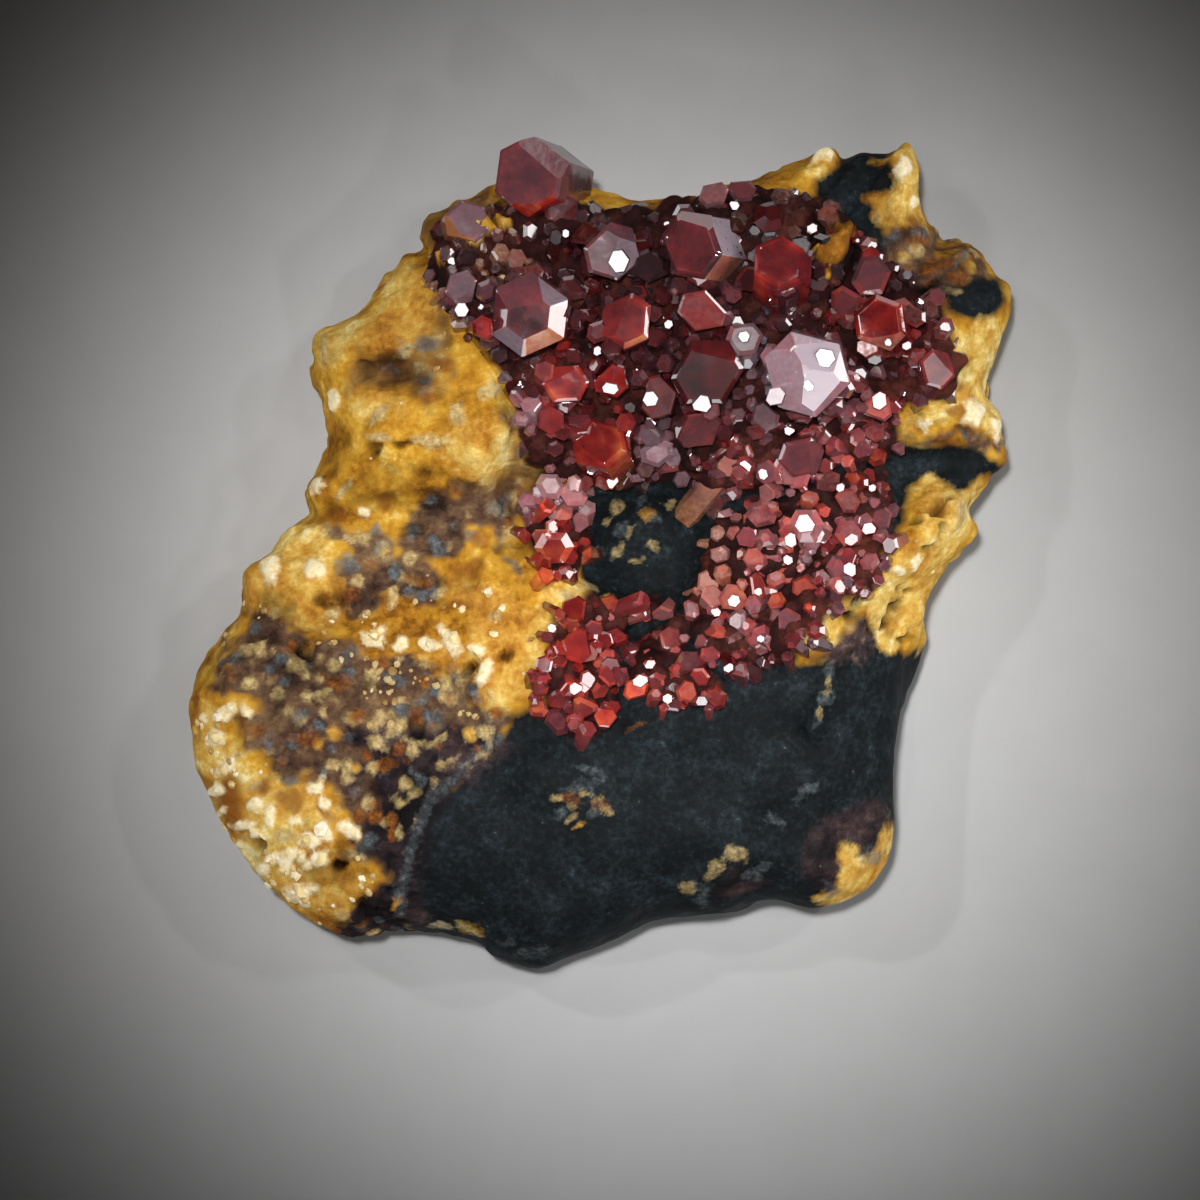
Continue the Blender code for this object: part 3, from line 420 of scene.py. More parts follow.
spots = {  # each: x, y, half length, half width, turn
    "cream": [
        (-16.4, -0.8, 0.6, 0.4, 80), (-14.3, -0.9, 0.5, 0.4, 0), (-14.2, 3.4, 0.4, 0.3, 0),
        (-12, 1.9, 0.3, 0.25, 0), (-11.2, -4.2, 0.5, 0.4, 0), (-9.9, -4.7, 0.35, 0.3, 0),
        (-8.4, -4.6, 0.4, 0.3, 0), (-7.5, -4.4, 0.6, 0.35, -50), (-6.2, -4.9, 0.45, 0.3, -45),
        (-18.6, -7.9, 0.45, 0.4, 30), (-17.6, -8, 0.35, 0.3, 0), (-19.2, -9.2, 0.5, 0.45, 0),
        (-18.4, -10.6, 0.45, 0.3, 30), (-19.8, -8.3, 0.25, 0.25, 0),
        (-17.2, -12.6, 0.4, 0.35, 0), (-16.4, -13.2, 0.45, 0.3, 70),
        (-17.9, -13.7, 0.45, 0.3, 30), (-17.1, -14.2, 0.55, 0.3, -35),
        (-14.8, -14.4, 0.55, 0.4, 0), (-13.9, -13.9, 0.5, 0.35, 70),
        (-14.2, -11.7, 0.5, 0.35, 0), (-13.6, -12.6, 0.4, 0.35, -20),
        (-14, -15.4, 0.5, 0.35, 80), (-15.6, -15.3, 0.5, 0.35, 80),
        (-12.8, -13.8, 0.35, 0.35, 0), (-12.3, -14.1, 0.5, 0.35, -20),
        (-15, -17.1, 0.75, 0.45, -5), (-19.2, -11.9, 0.4, 0.3, 20), (-16.9, -15.8, 0.4, 0.3, 0),
        (-18, -14.7, 0.3, 0.25, 0), (-16.2, -15.2, 0.35, 0.25, 30), (-14.5, -15.8, 0.3, 0.25, 0),
        (-18.8, -13, 0.35, 0.25, 60), (-15.2, -13.2, 0.35, 0.25, 0), (-15, -15.4, 0.3, 0.3, 0),
        (-8.6, -18.9, 0.6, 0.25, -8), (-8.4, -19, 0.9, 0.3, -5), (-5.8, -6, 0.55, 0.35, 70),
        (-13.2, 7.6, 0.4, 0.25, 80), (16.4, 6.3, 0.4, 0.35, 0), (18.6, 7, 0.6, 0.45, -60),
        (19.9, 6.3, 0.6, 0.35, -70), (14.7, -0.7, 0.3, 0.25, 0), (15.7, -0.4, 0.3, 0.25, 30),
        (11.1, 19.9, 0.65, 0.35, 30), (15.3, 19, 0.45, 0.35, 45), (15.7, 17.6, 0.3, 0.2, 80),
    ],
    "tan": [
        (-12.8, 3.2, 0.65, 0.25, 65), (-11.9, 0.7, 0.4, 0.35, 20), (-10.4, -2.4, 0.75, 0.3, 48),
        (-13.4, -3.2, 0.45, 0.3, 30), (-15.2, -5.6, 0.65, 0.4, -20), (-13.9, -7, 0.45, 0.35, 20),
        (-17.5, -4.6, 0.6, 0.25, 15), (-12.5, -8.2, 0.5, 0.35, -30),
        (-11.6, -6.7, 0.6, 0.2, -65), (-11, -8.2, 0.4, 0.25, -40), (-9.2, -9.5, 0.9, 0.2, -8),
        (-8, -9.3, 0.45, 0.2, 40), (-17.9, -10.2, 0.4, 0.25, 30), (-17.5, -11.6, 0.3, 0.3, 0),
        (-15.8, -14, 0.4, 0.35, 0), (-12.7, -10.8, 0.65, 0.3, 85), (-10.8, -13.4, 0.35, 0.2, 10),
        (-9.8, -12.6, 0.3, 0.15, 35), (-5.6, -9.2, 0.55, 0.25, -60), (-6, -10, 0.5, 0.25, 25),
        (-7.4, -7.4, 0.45, 0.35, 0), (-8, -1.9, 0.5, 0.25, 45), (-13.8, 10.3, 0.8, 0.3, 90),
        (-9.1, 9.2, 0.4, 0.35, 0), (-9.7, 10.2, 0.6, 0.3, 15), (-11.1, 5.7, 0.6, 0.35, 0),
        (-11, 6.8, 0.45, 0.25, 40), (-8.6, 5.6, 1, 0.45, 0), (-5.4, 8.1, 0.5, 0.35, 60),
        (-7, 6.8, 0.6, 0.3, 70), (18, 2, 0.7, 0.45, 80), (13.5, -1.3, 0.45, 0.3, 40),
        (13.8, 16.7, 0.3, 0.2, 0), (16.5, 16.5, 0.6, 0.25, -60), (17.8, 13, 0.4, 0.25, 20),
        (-5.2, -3.3, 0.4, 0.35, 0), (-1.7, -2.2, 0.45, 0.35, 0), (-0.8, -1.9, 0.45, 0.3, 0),
        (0.9, 0.2, 0.4, 0.3, 45), (1.6, 1, 0.35, 0.25, 45), (-0.5, -1.7, 0.4, 0.25, 20),
        (-4.3, 1, 0.3, 0.45, 90), (-2.2, -12.2, 0.35, 0.25, 30), (-1.6, -12.6, 0.3, 0.25, 0),
        (-1.4, -13.1, 0.3, 0.2, 40), (-0.1, -12.4, 0.35, 0.25, 60), (0.3, -12.9, 0.4, 0.25, 0),
        (-0.7, -12, 0.3, 0.15, 0), (6.8, -15.1, 0.45, 0.4, 0), (5.7, -15.8, 0.7, 0.25, 38),
        (4.3, -16.8, 0.45, 0.35, 30), (11.3, -6.6, 0.3, 0.15, 80), (10.9, -7.9, 0.4, 0.15, 80),
        (0.8, 2.3, 0.4, 0.25, 20), (2.8, 0.3, 0.3, 0.25, 0), (0.2, 1.6, 0.25, 0.25, 0),
        (2, -0.4, 0.35, 0.25, 40), (3.4, 2.3, 0.3, 0.2, 0),
    ],
    "yellow": [
        (-6.6, -19, 0.85, 0.4, 0), (-10.2, -17.6, 0.3, 0.3, 0), (14.4, 19.6, 0.8, 0.3, 10),
        (13.4, 17.8, 0.4, 0.35, 0), (14.7, 17.2, 0.65, 0.55, 60), (18.4, 14.5, 0.6, 0.45, -30),
        (-4.8, -3, 0.7, 0.45, 0), (0.2, -2.2, 0.3, 0.25, 0), (2.3, 1.8, 0.45, 0.4, 0),
        (-1.1, -13.6, 0.3, 0.15, 20),
    ],
    "slate": [
        (-3.5, -20.3, 1.1, 0.4, 5), (-4.8, -19.6, 0.5, 0.25, 30), (-9.5, 0.9, 0.45, 0.35, 30),
        (-8, 0.2, 0.6, 0.35, -20), (-6.3, 0.7, 0.4, 0.3, 0), (-10.1, -0.7, 0.4, 0.35, 0),
        (-8.3, -1.9, 0.45, 0.25, 60), (-11.2, 1.1, 0.4, 0.25, -30), (-10.9, 0.2, 0.55, 0.35, 35),
        (-18.2, -5.2, 0.45, 0.3, 0), (-14.8, -8.2, 0.55, 0.35, 0), (-15.8, -10.4, 0.4, 0.3, 0),
        (-15.4, -11.5, 0.4, 0.35, 0), (-10.2, -6.3, 0.55, 0.45, 0), (-9.8, -8.1, 0.55, 0.45, 0),
        (-8, -8.4, 0.45, 0.35, 0), (-12.8, -0.8, 0.65, 0.55, 60), (-12.5, -5.2, 0.7, 0.45, 20),
        (-4.4, -0.7, 0.6, 0.3, -65), (-16.6, -9.5, 0.4, 0.3, 0), (-8.8, 8.5, 0.4, 0.3, 0),
        (-10.6, 9.3, 0.35, 0.2, -10), (-8.5, 10.3, 0.35, 0.7, 90), (-11.5, -14.7, 0.7, 0.4, 20),
        (-9, -7.4, 0.45, 0.3, 0), (-5.1, 2.3, 0.4, 0.6, 0), (14, -17.1, 0.3, 0.2, 0),
        (11.5, -16.9, 0.5, 0.35, 40), (13.6, -15.3, 0.5, 0.45, 0), (14.4, -13.2, 0.3, 0.4, 0),
        (5, -17.4, 0.6, 0.4, 0), (-0.5, -11, 0.8, 0.3, -15), (-1, -11.7, 0.8, 0.3, 0),
        (-0.4, -13, 0.45, 0.35, 0), (-1.9, -13, 0.4, 0.3, 0), (7.9, -16, 0.8, 0.4, 30),
        (5, -16.7, 0.6, 0.3, 0), (11.2, -7.2, 0.5, 0.25, 80), (10.8, -8.5, 0.4, 0.2, 70),
        (11.4, -6.1, 0.4, 0.3, 80), (8.8, -13.4, 0.6, 0.2, -30), (10.2, -11.9, 0.7, 0.2, 40),
        (2, 2.6, 0.5, 0.3, 0), (1, 1.1, 0.6, 0.35, 30), (2.8, 1.6, 0.4, 0.3, 0),
        (0, 0.1, 0.4, 0.3, 0), (0.2, 3.1, 0.4, 0.25, 0),
    ],
    "rust": [
        (-1.5, -12.2, 0.6, 0.45, 20), (0, -12.7, 0.6, 0.4, 0), (2, -8.8, 0.6, 0.2, 20),
        (-12.5, -2.3, 0.6, 0.4, 0), (-9, -8.3, 0.5, 0.4, 0), (-13.2, -6.5, 0.6, 0.45, 30),
        (-18.6, -5.8, 0.45, 0.3, 0), (-13.7, -13, 0.75, 0.3, -40), (-11.2, -12.7, 0.35, 0.2, 45),
        (-10.8, -10.7, 0.6, 0.4, 0), (-5.9, 0.6, 0.6, 0.35, 45), (-9.1, -1.4, 0.75, 0.3, -15),
        (-6.5, -0.8, 0.9, 0.45, 10), (-7.2, -2.7, 0.8, 0.3, 0), (-10.8, 2.3, 0.6, 0.45, 30),
        (-8, 9.2, 0.45, 0.8, 90), (-8.5, 7.6, 0.6, 0.3, 0), (17.8, 7, 0.75, 0.3, -10),
        (17.2, 5.6, 0.7, 0.3, 15), (12.2, 16, 0.35, 0.35, 0), (17.2, 12.3, 0.3, 0.25, 0),
        (15.8, 15.6, 0.65, 0.4, 20), (17, 14.4, 0.75, 0.45, 30), (18.1, 13.8, 0.55, 0.35, 0),
        (15.3, 14.2, 0.5, 0.3, 0), (16.5, 13.3, 0.5, 0.25, 0), (10, 14.2, 0.5, 0.25, 50),
        (5.5, -7.2, 0.3, 0.7, 70), (10.8, -5.2, 0.6, 0.3, 20), (-15.5, -12.4, 0.7, 0.5, 0),
        (-16.9, -11.7, 0.6, 0.45, 20), (-17.5, -8.8, 0.7, 0.45, 0), (-14.8, -9.3, 0.7, 0.4, 0),
        (18, 8.3, 0.4, 0.3, 0), (17.2, 9.3, 0.6, 0.3, 20), (14.2, 19.3, 0.5, 0.2, 10),
        (-13, -15.5, 0.4, 0.25, 0), (-13.5, 1.8, 0.6, 0.35, 10), (3, 16.8, 0.3, 0.5, 0),
    ],
    "pit": [
        (16.8, 2.2, 0.55, 0.4, 50), (16.3, 0.3, 0.4, 0.25, 10), (12.9, -2.3, 0.4, 0.3, 0),
        (14.5, -3.5, 0.45, 0.25, 25), (15, -2.9, 0.4, 0.2, 50), (-13.1, -15.8, 0.35, 0.3, 0),
        (-16.9, -14.7, 0.4, 0.25, 20), (-13.8, -2.7, 0.45, 0.25, -10),
        (-14.8, -4.8, 0.45, 0.3, 0), (-14, -2.4, 0.6, 0.35, 20), (-6.8, -6, 0.3, 0.45, 90),
        (-4.8, -5.4, 0.3, 0.25, 0), (17, 13.1, 0.6, 0.3, 0), (13.6, -3.8, 0.3, 0.25, 0),
        (17.1, 1.1, 0.45, 0.3, 60), (13.8, -1.8, 0.25, 0.2, 0), (12.3, -3, 0.25, 0.2, 30),
        (15.2, -1.9, 0.25, 0.2, 0), (17.5, 2.6, 0.25, 0.2, 0), (15.9, 1.6, 0.25, 0.2, 0),
        (11.2, -4.5, 0.3, 0.2, 30), (15.4, -4.4, 0.3, 0.2, 20), (13, 16, 0.5, 0.3, 40),
        (16.2, 13.1, 0.45, 0.25, 20), (-11.4, 5.1, 0.4, 0.25, 0), (-10, 5.4, 0.45, 0.2, 0),
    ],
    "olive": [
        (11.6, 15, 1, 0.45, 50), (11, 13.9, 0.45, 0.35, 30), (12.2, 15.7, 0.4, 0.3, 40),
        (-5.4, 15.7, 0.7, 0.45, -20), (-6.1, 15.3, 0.4, 0.3, 0), (-4.6, 16.3, 0.35, 0.3, 30),
        (10.8, 15.1, 0.35, 0.25, 60), (-7.6, 14.5, 0.4, 0.3, 0), (13.1, 13.5, 0.4, 0.25, 20),
    ],
}
crustEdges = {
    "crown": [
        (17.6, 11.4), (16.6, 13.0), (14.6, 14.4), (12.6, 16.2), (11.0, 17.6), (7.6, 18.1),
        (4.6, 17.3), (0.5, 17.2), (-2.5, 17.4), (-5.6, 17.4), (-8.2, 15.8), (-8.6, 13.6),
        (-7.2, 11.4), (-5.2, 9.2), (-4.0, 7.4), (-3.6, 4.6), (-1.6, 3.6), (1.2, 3.4), (4.0, 3.8),
        (6.2, 3.2), (8.6, 2.9), (12.6, 4.4), (14.8, 5.2), (15.2, 7.2), (17.2, 7.8), (18.0, 9.6),
    ],
    "right": [
        (14.4, 4.0), (14.7, 1.6), (13.9, -1.4), (11.6, -3.0), (9.4, -5.4), (7.0, -6.3),
        (4.8, -5.0), (4.4, -2.4), (5.4, -0.6), (6.4, 1.6), (8.4, 2.6), (12.2, 3.9),
    ],
    "left_spur": [
        (-0.8, 2.6), (-0.6, 0.6), (-1.4, -1.2), (-2.6, -1.4), (-3.6, 0.2), (-3.9, 2.4),
        (-3.0, 3.6), (-1.6, 3.2),
    ],
    "lower_left": [
        (3.2, -1.8), (3.3, -3.4), (1.2, -3.9), (0.4, -5.4), (0.9, -7.6), (-0.6, -9.4),
        (-1.6, -9.2), (-3.4, -7.4), (-3.0, -5.2), (-2.2, -3.0), (-0.8, -2.2), (1.6, -2.3),
    ],
    "lower_middle": [
        (4.4, -3.6), (4.6, -5.6), (6.4, -6.6), (5.4, -7.6), (3.6, -7.6), (1.4, -7.2),
        (1.3, -6.2), (2.2, -4.8), (3.0, -4.0),
    ],
}


def isInside(x, y, edge):
    # a line from an inside point crosses the edge an odd number of times
    crossings = np.zeros(np.shape(x), int)
    for (ax, ay), (bx, by) in zip(edge, edge[1:] + edge[:1]):
        spans = (ay > y) != (by > y)
        rise = by - ay if by != ay else 1e-9
        crossings += spans & (x < ax + (y - ay) * (bx - ax) / rise)
    return crossings % 2 == 1


def zoneDepth(x, y, edges):
    # how far inside the nearest outline each point is, in mm, negative outside
    depth = np.full(np.shape(x), -99.0)
    for edge in edges:
        away = lineDistance(x, y, edge + edge[:1])
        depth = np.maximum(depth, np.where(isInside(x, y, edge), away, -away))
    return depth


rockLook = {
    "cells": 268,  # across the crystal face
    "sideRows": 12,
    "backRings": 5,
    "ragged": [(0.7, 2.2, 51), (0.45, 0.9, 52), (0.25, 0.4, 53)],  # lumps in the zones' edges
    "zoneSoft": (-0.5, 0.5), "bedSoft": (-0.3, 0.5), "rimSoft": (-0.5, 1.0),  # edges, in mm
    "raggedness": {"dark": 0.35, "brown": 0.9, "yellow": 0.8, "maroon": 0.6, "bed": 0.4},
    "bedHeights": (5.0, 6.5),  # the crystals' bed, dark with painted shade, fades in between these
    "sideHeights": (5.5, 3.0),  # and the browner sides and back between these
    "stain": [(1.0, 4.2, 55), (0.6, 1.4, 56)],  # patches on the sides, the back and the rim
    "brownStain": (-0.7, 0.0), "blackStain": (0.35, 0.8), "rimStain": (0.1, 0.7),
    "sideFade": {"brown": 0.9, "yellow": 0.6},  # of the face's zones on the sides
    "leftBrownFade": 0.45, "leftBrownFrom": (1.0, 5.0),  # brown is weaker up the left side
    "bedFade": 0.8, "bedFadeFrom": 10,  # and the bed is weaker on the yellow at the top
    "bendX": [(0.3, 0.9, 61), (0.12, 0.4, 62)],  # lumps that bend the ovals' outlines
    "bendY": [(0.3, 0.9, 63), (0.12, 0.4, 64)],
    "haze": [(0.9, 1.1, 57), (0.5, 0.5, 58)],  # paler and darker patches of the dark rock
    "grainSize": 0.85, "grainHeight": 0.2, "grainPattern": 31,
    "grainBend": 0.25, "grainReach": 0.75,  # how round a grain is, and where its dome ends
    "grainMark": (0.65, 0.25), "grainShare": 0.75,  # its coloured middle, and how strong
    "grainKinds": {  # by the grains' own numbers: middle, where the kind starts and is full
        "tan": (1.0, 0.5, 0.35), "slate": (-1.0, 0.5, 0.35), "rust": (0.1, 0.2, 0.12),
        "yellow": (0.4, 0.08, 0.03),
    },
    "rimRust": 0.75,
    # painted highlight: a pale slate line along the dark rock's lit left edge, and its width
    "arcWidth": 0.32, "arcLowest": 5, "paintedHighlightShares": {"slate": 0.42, "dark": 0.8},
    "earth": [(0.2, 3.2, 32), (0.14, 1.5, 33), (0.11, 0.8, 34), (0.07, 0.42, 35)],
    "boss": [(0.09, 2.6, 37), (0.06, 1.1, 38), (0.035, 0.5, 39)],
    "pits": [(1.0, 1.3, 41), (0.4, 0.5, 36)], "pitFrom": (0.45, 0.95), "pitDepth": 0.5,
    "spotRise": {"cream": 0.3, "tan": 0.16, "yellow": 0.22, "slate": -0.04, "rust": -0.08,
                 "pit": -0.75, "olive": 1.5},
    "spotShare": {"cream": 1.0, "tan": 0.75, "yellow": 0.8, "slate": 0.6, "rust": 0.6,
                  "pit": 0.8, "olive": 1.0},
    "spotSoft": (1.5, 0.5), "spotDome": 1.2, "fullDomeWidth": 0.4,
    "stainLoss": 0.45,  # marks on the dark rock are this much fainter
    "paler": [  # broad patches where the earth is paler or darker: x, y, reach, change
        (14.5, -2.5, 4.0, 0.15), (18.5, 8.5, 4.0, 0.22), (-6.0, -3.5, 3.5, -0.16),
        (-11.0, 9.0, 4.0, 0.08), (-9.5, -13.0, 3.0, -0.35), (-19.0, -10.0, 5.0, 0.05),
        (-14.5, -15.5, 4.0, 0.05), (-14.0, 1.0, 4.0, 0.05), (13.0, -16.5, 3.0, 0.05),
        (11.2, 14.9, 2.0, -0.45),
    ],
    "oliveYellow": (0.7, 0.6), "oliveRough": 0.5,  # by the grain's number, and by the earth
    "earthByMixed": (0.75, 0.5), "grainByMixed": (0.15, 0.85), "pitByBrown": (0.4, 0.6),
    # painted shade: darker in the earth's hollows, pits and between grains, less on cream
    "hollowFrom": (-0.02, -0.3),
    "paintedShade": {"hollow": 0.5, "pit": 0.45, "drawnPit": 0.9, "between": 0.3, "lessOnCream": 0.8},
    "tone": 0.5, "toneByGrain": 0.1, "toneByCloud": (0.2, 2.6, 59),
    "bedRise": 0.35, "bedGrain": 0.4, "bedEarth": 1.1,  # of the rock under the small crystals
    "footFrom": (0.0, 1.2),  # no lumps where the rock rests
    "backLumps": (0.25, 1.8, 40), "backFlat": 0.75,  # the back's outer part stays flat
}


def rockForms():
    # a square grid wrapped on the face, rings down the side blended between the solid's own
    # rows, and rings across the back to a pole
    n = rockLook["cells"]
    across = np.linspace(-1, 1, n + 1)
    a, b = np.meshgrid(across, across)
    ring = np.maximum(abs(a), abs(b))
    a, b = a / np.maximum(ring, 1e-9), b / np.maximum(ring, 1e-9)
    edge = 1 - 1e-9
    u = np.select([a > edge, b > edge, a < -edge], [b + 1, 3 - a, 5 - b], 7 + a) / 8
    share = shoulderRings(n // 2)[np.rint(ring * n / 2).astype(int)]
    x, y = outlineAt(u)
    x, y = x * share, y * share
    face = np.stack([x, y, rockTop(x, y, share)], -1).reshape(-1, 3)

    around = 4 * n
    x, y = outlineAt(np.arange(around) / around)
    radius, rim = np.hypot(x, y), rimHeight(x, y)
    rows = [np.stack([x, y, rim], -1)]
    start, length = rockForm["sideWave"]
    for row in range(1, rockForm["solidRows"] + 1):
        t = row / rockForm["solidRows"]
        z = rim * (1 - t)
        rough = layered(x, y, z, rockForm["sideLumps"]) * math.sin(start + length * t)
        out = 1 - rockForm["undercut"] * t ** rockForm["undercutPower"] + rough / radius
        rows.append(brokenSide(np.stack([x * out, y * out, z], -1)))
    rows = np.array(rows)
    at = np.arange(1, rockLook["sideRows"] + 1) / rockLook["sideRows"] * rockForm["solidRows"]
    low = np.minimum(at.astype(int), rockForm["solidRows"] - 1)
    side = rows[low] + (at - low)[:, None, None] * (rows[low + 1] - rows[low])
    shrink = 1 - np.arange(1, rockLook["backRings"]) / rockLook["backRings"]
    back = side[-1][None] * shrink[:, None, None]
    points = np.concatenate([face, side.reshape(-1, 3), back.reshape(-1, 3), [[0, 0, 0]]])

    count = n + 1
    grid = np.arange(count * count).reshape(count, count)
    quads = np.stack([grid[:-1, :-1], grid[:-1, 1:], grid[1:, 1:], grid[1:, :-1]], -1)
    faces = quads.reshape(-1, 4).tolist()
    rim = np.concatenate([grid[:-1, -1], grid[-1, :0:-1], grid[:0:-1, 0], grid[0, :-1]])
    lower = count * count + np.arange(around * (len(side) + len(back))).reshape(-1, around)
    rings = np.vstack([rim, lower])
    strip = np.stack([rings[:-1], rings[1:], np.roll(rings[1:], -1, 1),
                      np.roll(rings[:-1], -1, 1)], -1)
    faces += strip.reshape(-1, 4).tolist()
    pole = np.full(around, len(points) - 1)
    faces += np.stack([np.roll(rings[-1], -1), rings[-1], pole], -1).tolist()
    return points, faces


def normalsOf(points, faces):
    # the way each point's faces look on average, worked out by a mesh that is then removed
    mesh = bpy.data.meshes.new("normals")
    mesh.from_pydata(points.tolist(), [], faces)
    normals = np.empty(len(points) * 3, np.float32)
    mesh.vertex_normals.foreach_get("vector", normals)
    bpy.data.meshes.remove(mesh)
    return normals.reshape(-1, 3).astype(float)


rockZoneNames = {  # the zones that each of the rock's attributes carries
    "zonesA": ("dark", "brown", "yellow", "cream"),
    "zonesB": ("maroon", "bed", "paintedHollowShade", "number"),
    "zonesC": ("haze", "tan", "slate", "rust"),
}


def rockMaterial():
    # iron-stained rock: limonite and goethite crust on manganese oxide, broken, never polished.
    # To the eye: matt earthy ochre with fine grit, over smooth blue-black rock with a dull shine
    material, tree, shader = newMaterial("limoniteOnManganeseRockBroken", IOR=1.6, Roughness=0.8)
    shader.inputs["Specular IOR Level"].default_value = 0.09
    place = addNode(tree, "TexCoord").outputs["Object"]
    zones = {}
    for label, names in rockZoneNames.items():
        zone = addNode(tree, "Attribute", attribute_name=label)
        split = addNode(tree, "SeparateColor", {"Color": zone})
        zones.update(zip(names, [*split.outputs, zone.outputs["Alpha"]]))
    cloud = addNode(tree, "TexNoise", {"Vector": place, "Scale": perMm(1.3), "Detail": 5.0,
                                       "Roughness": 0.6})
    grit = addNode(tree, "TexNoise", {"Vector": place, "Scale": perMm(0.3), "Detail": 4.0,
                                      "Roughness": 0.65})
    # how light each grain of the earth is: a cloud, the grit and the grain's own number
    vary = addNode(tree, "Math", {0: cloud, 1: zones["number"]}, operation="ADD")
    vary = addNode(tree, "Math", {0: grit, 1: 0.6, 2: vary}, operation="MULTIPLY_ADD")
    spread = addNode(tree, "MapRange", {"Value": vary, "From Min": 0.98, "From Max": 1.66})
    mottled = addNode(tree, "Math", {0: cloud, 1: 0.5, 2: grit}, operation="MULTIPLY_ADD")
    mottled = addNode(tree, "Math", {0: zones["haze"], 1: 0.16, 2: mottled},
                      operation="MULTIPLY_ADD")
    mottled = addNode(tree, "MapRange", {"Value": mottled, "From Min": 0.48, "From Max": 1.2})
    ramps = {  # what drives each layer's ramp, and its colours
        "earth": (spread, [(0.0, "#75480f"), (1.0, "#e2c472"), (0.25, "#a06c1a"),
                           (0.5, "#ba8526"), (0.75, "#cd9d35")]),
        "brown": (spread, [(0.0, "#302018"), (1.0, "#aa9066"), (0.3, "#553d2e"),
                           (0.55, "#6e533c"), (0.8, "#8b6e4c")]),
        "dark": (mottled, [(0.0, "#06090a"), (1.0, "#45555b"), (0.3, "#0d1214"),
                           (0.5, "#161c1f"), (0.75, "#242d32")]),
        "maroon": (spread, [(0.0, "#120e10"), (1.0, "#7e6a5a"), (0.35, "#281f22"),
                            (0.6, "#3c2e2e"), (0.85, "#564440")]),
        "yellow": (spread, [(0.0, "#925c1a"), (1.0, "#f0dea2"), (0.3, "#b7802e"),
                            (0.55, "#ca9c44"), (0.8, "#dcbc68")]),
        "tan": (grit, [(0.25, "#7c6848"), (0.75, "#dcc48c"), (0.5, "#b89e68")]),
        "slate": (grit, [(0.25, "#363c3e"), (0.75, "#7c8486"), (0.5, "#555d60")]),
        "rust": (grit, [(0.25, "#4e260f"), (0.75, "#a5661d"), (0.5, "#804818")]),
        "cream": (grit, [(0.25, "#d6b878"), (0.75, "#fbf4e2"), (0.5, "#eedcae")]),
        # painted shade: the bed under the crystals is near black red-brown, for the shade between
        # them
        "bed": (spread, [(0.0, "#140707"), (1.0, "#5a2c22"), (0.5, "#301311")]),
    }
    tones = {name: addNode(tree, "ValToRGB", {"Fac": driver}, stops=stops)
             for name, (driver, stops) in ramps.items()}
    colour = tones["earth"]
    for name in list(ramps)[1:]:
        edge = addNode(tree, "Math", {0: grit, 1: 0.6, 2: zones[name]}, operation="MULTIPLY_ADD")
        edge = addNode(tree, "MapRange", {"Value": edge, "From Min": 0.42, "From Max": 1.1})
        colour = addNode(tree, "Mix", {0: edge, 6: colour, 7: tones[name]},
                         data_type="RGBA").outputs[2]
    # painted shade: dark brown multiplied into the colour in the hollows, pits and between grains
    paintedShade = addNode(tree, "ValToRGB", {"Fac": zones["paintedHollowShade"]}, stops=[
        (0.0, "#ffffff"), (1.0, "#33241a")])
    colour = addNode(tree, "Mix", {0: 1.0, 6: colour, 7: paintedShade.outputs["Color"]},
                     data_type="RGBA", blend_type="MULTIPLY").outputs[2]
    tree.links.new(colour, shader.inputs["Base Color"])
    shine = addNode(tree, "MapRange", {"Value": zones["dark"], "To Min": 0.85, "To Max": 0.7})
    tree.links.new(shine.outputs[0], shader.inputs["Roughness"])
    strength = addNode(tree, "MapRange", {"Value": zones["dark"], "To Min": 0.5, "To Max": 0.25})
    bump = addNode(tree, "Bump", {"Strength": strength, "Distance": 0.1 * mm, "Height": grit})
    tree.links.new(bump.outputs[0], shader.inputs["Normal"])
    return material


def spotAt(x, y, kind):
    # 1 inside any of the ovals of one kind, fading to 0 round its edge, and its dome's height
    mark, dome = np.zeros(x.shape), np.zeros(x.shape)
    for atX, atY, halfLength, halfWidth, turn in spots[kind]:
        c, s = math.cos(math.radians(turn)), math.sin(math.radians(turn))
        dx, dy = x - atX, y - atY
        q = np.sqrt(((dx * c + dy * s) / halfLength) ** 2 + ((dy * c - dx * s) / halfWidth) ** 2)
        mark = np.maximum(mark, smoothStep(*rockLook["spotSoft"], q))
        rise = np.sqrt(np.clip(rockLook["spotDome"] - q**2, 0, 1))
        dome = np.maximum(dome, rise * min(halfWidth / rockLook["fullDomeWidth"], 1))
    return mark, dome


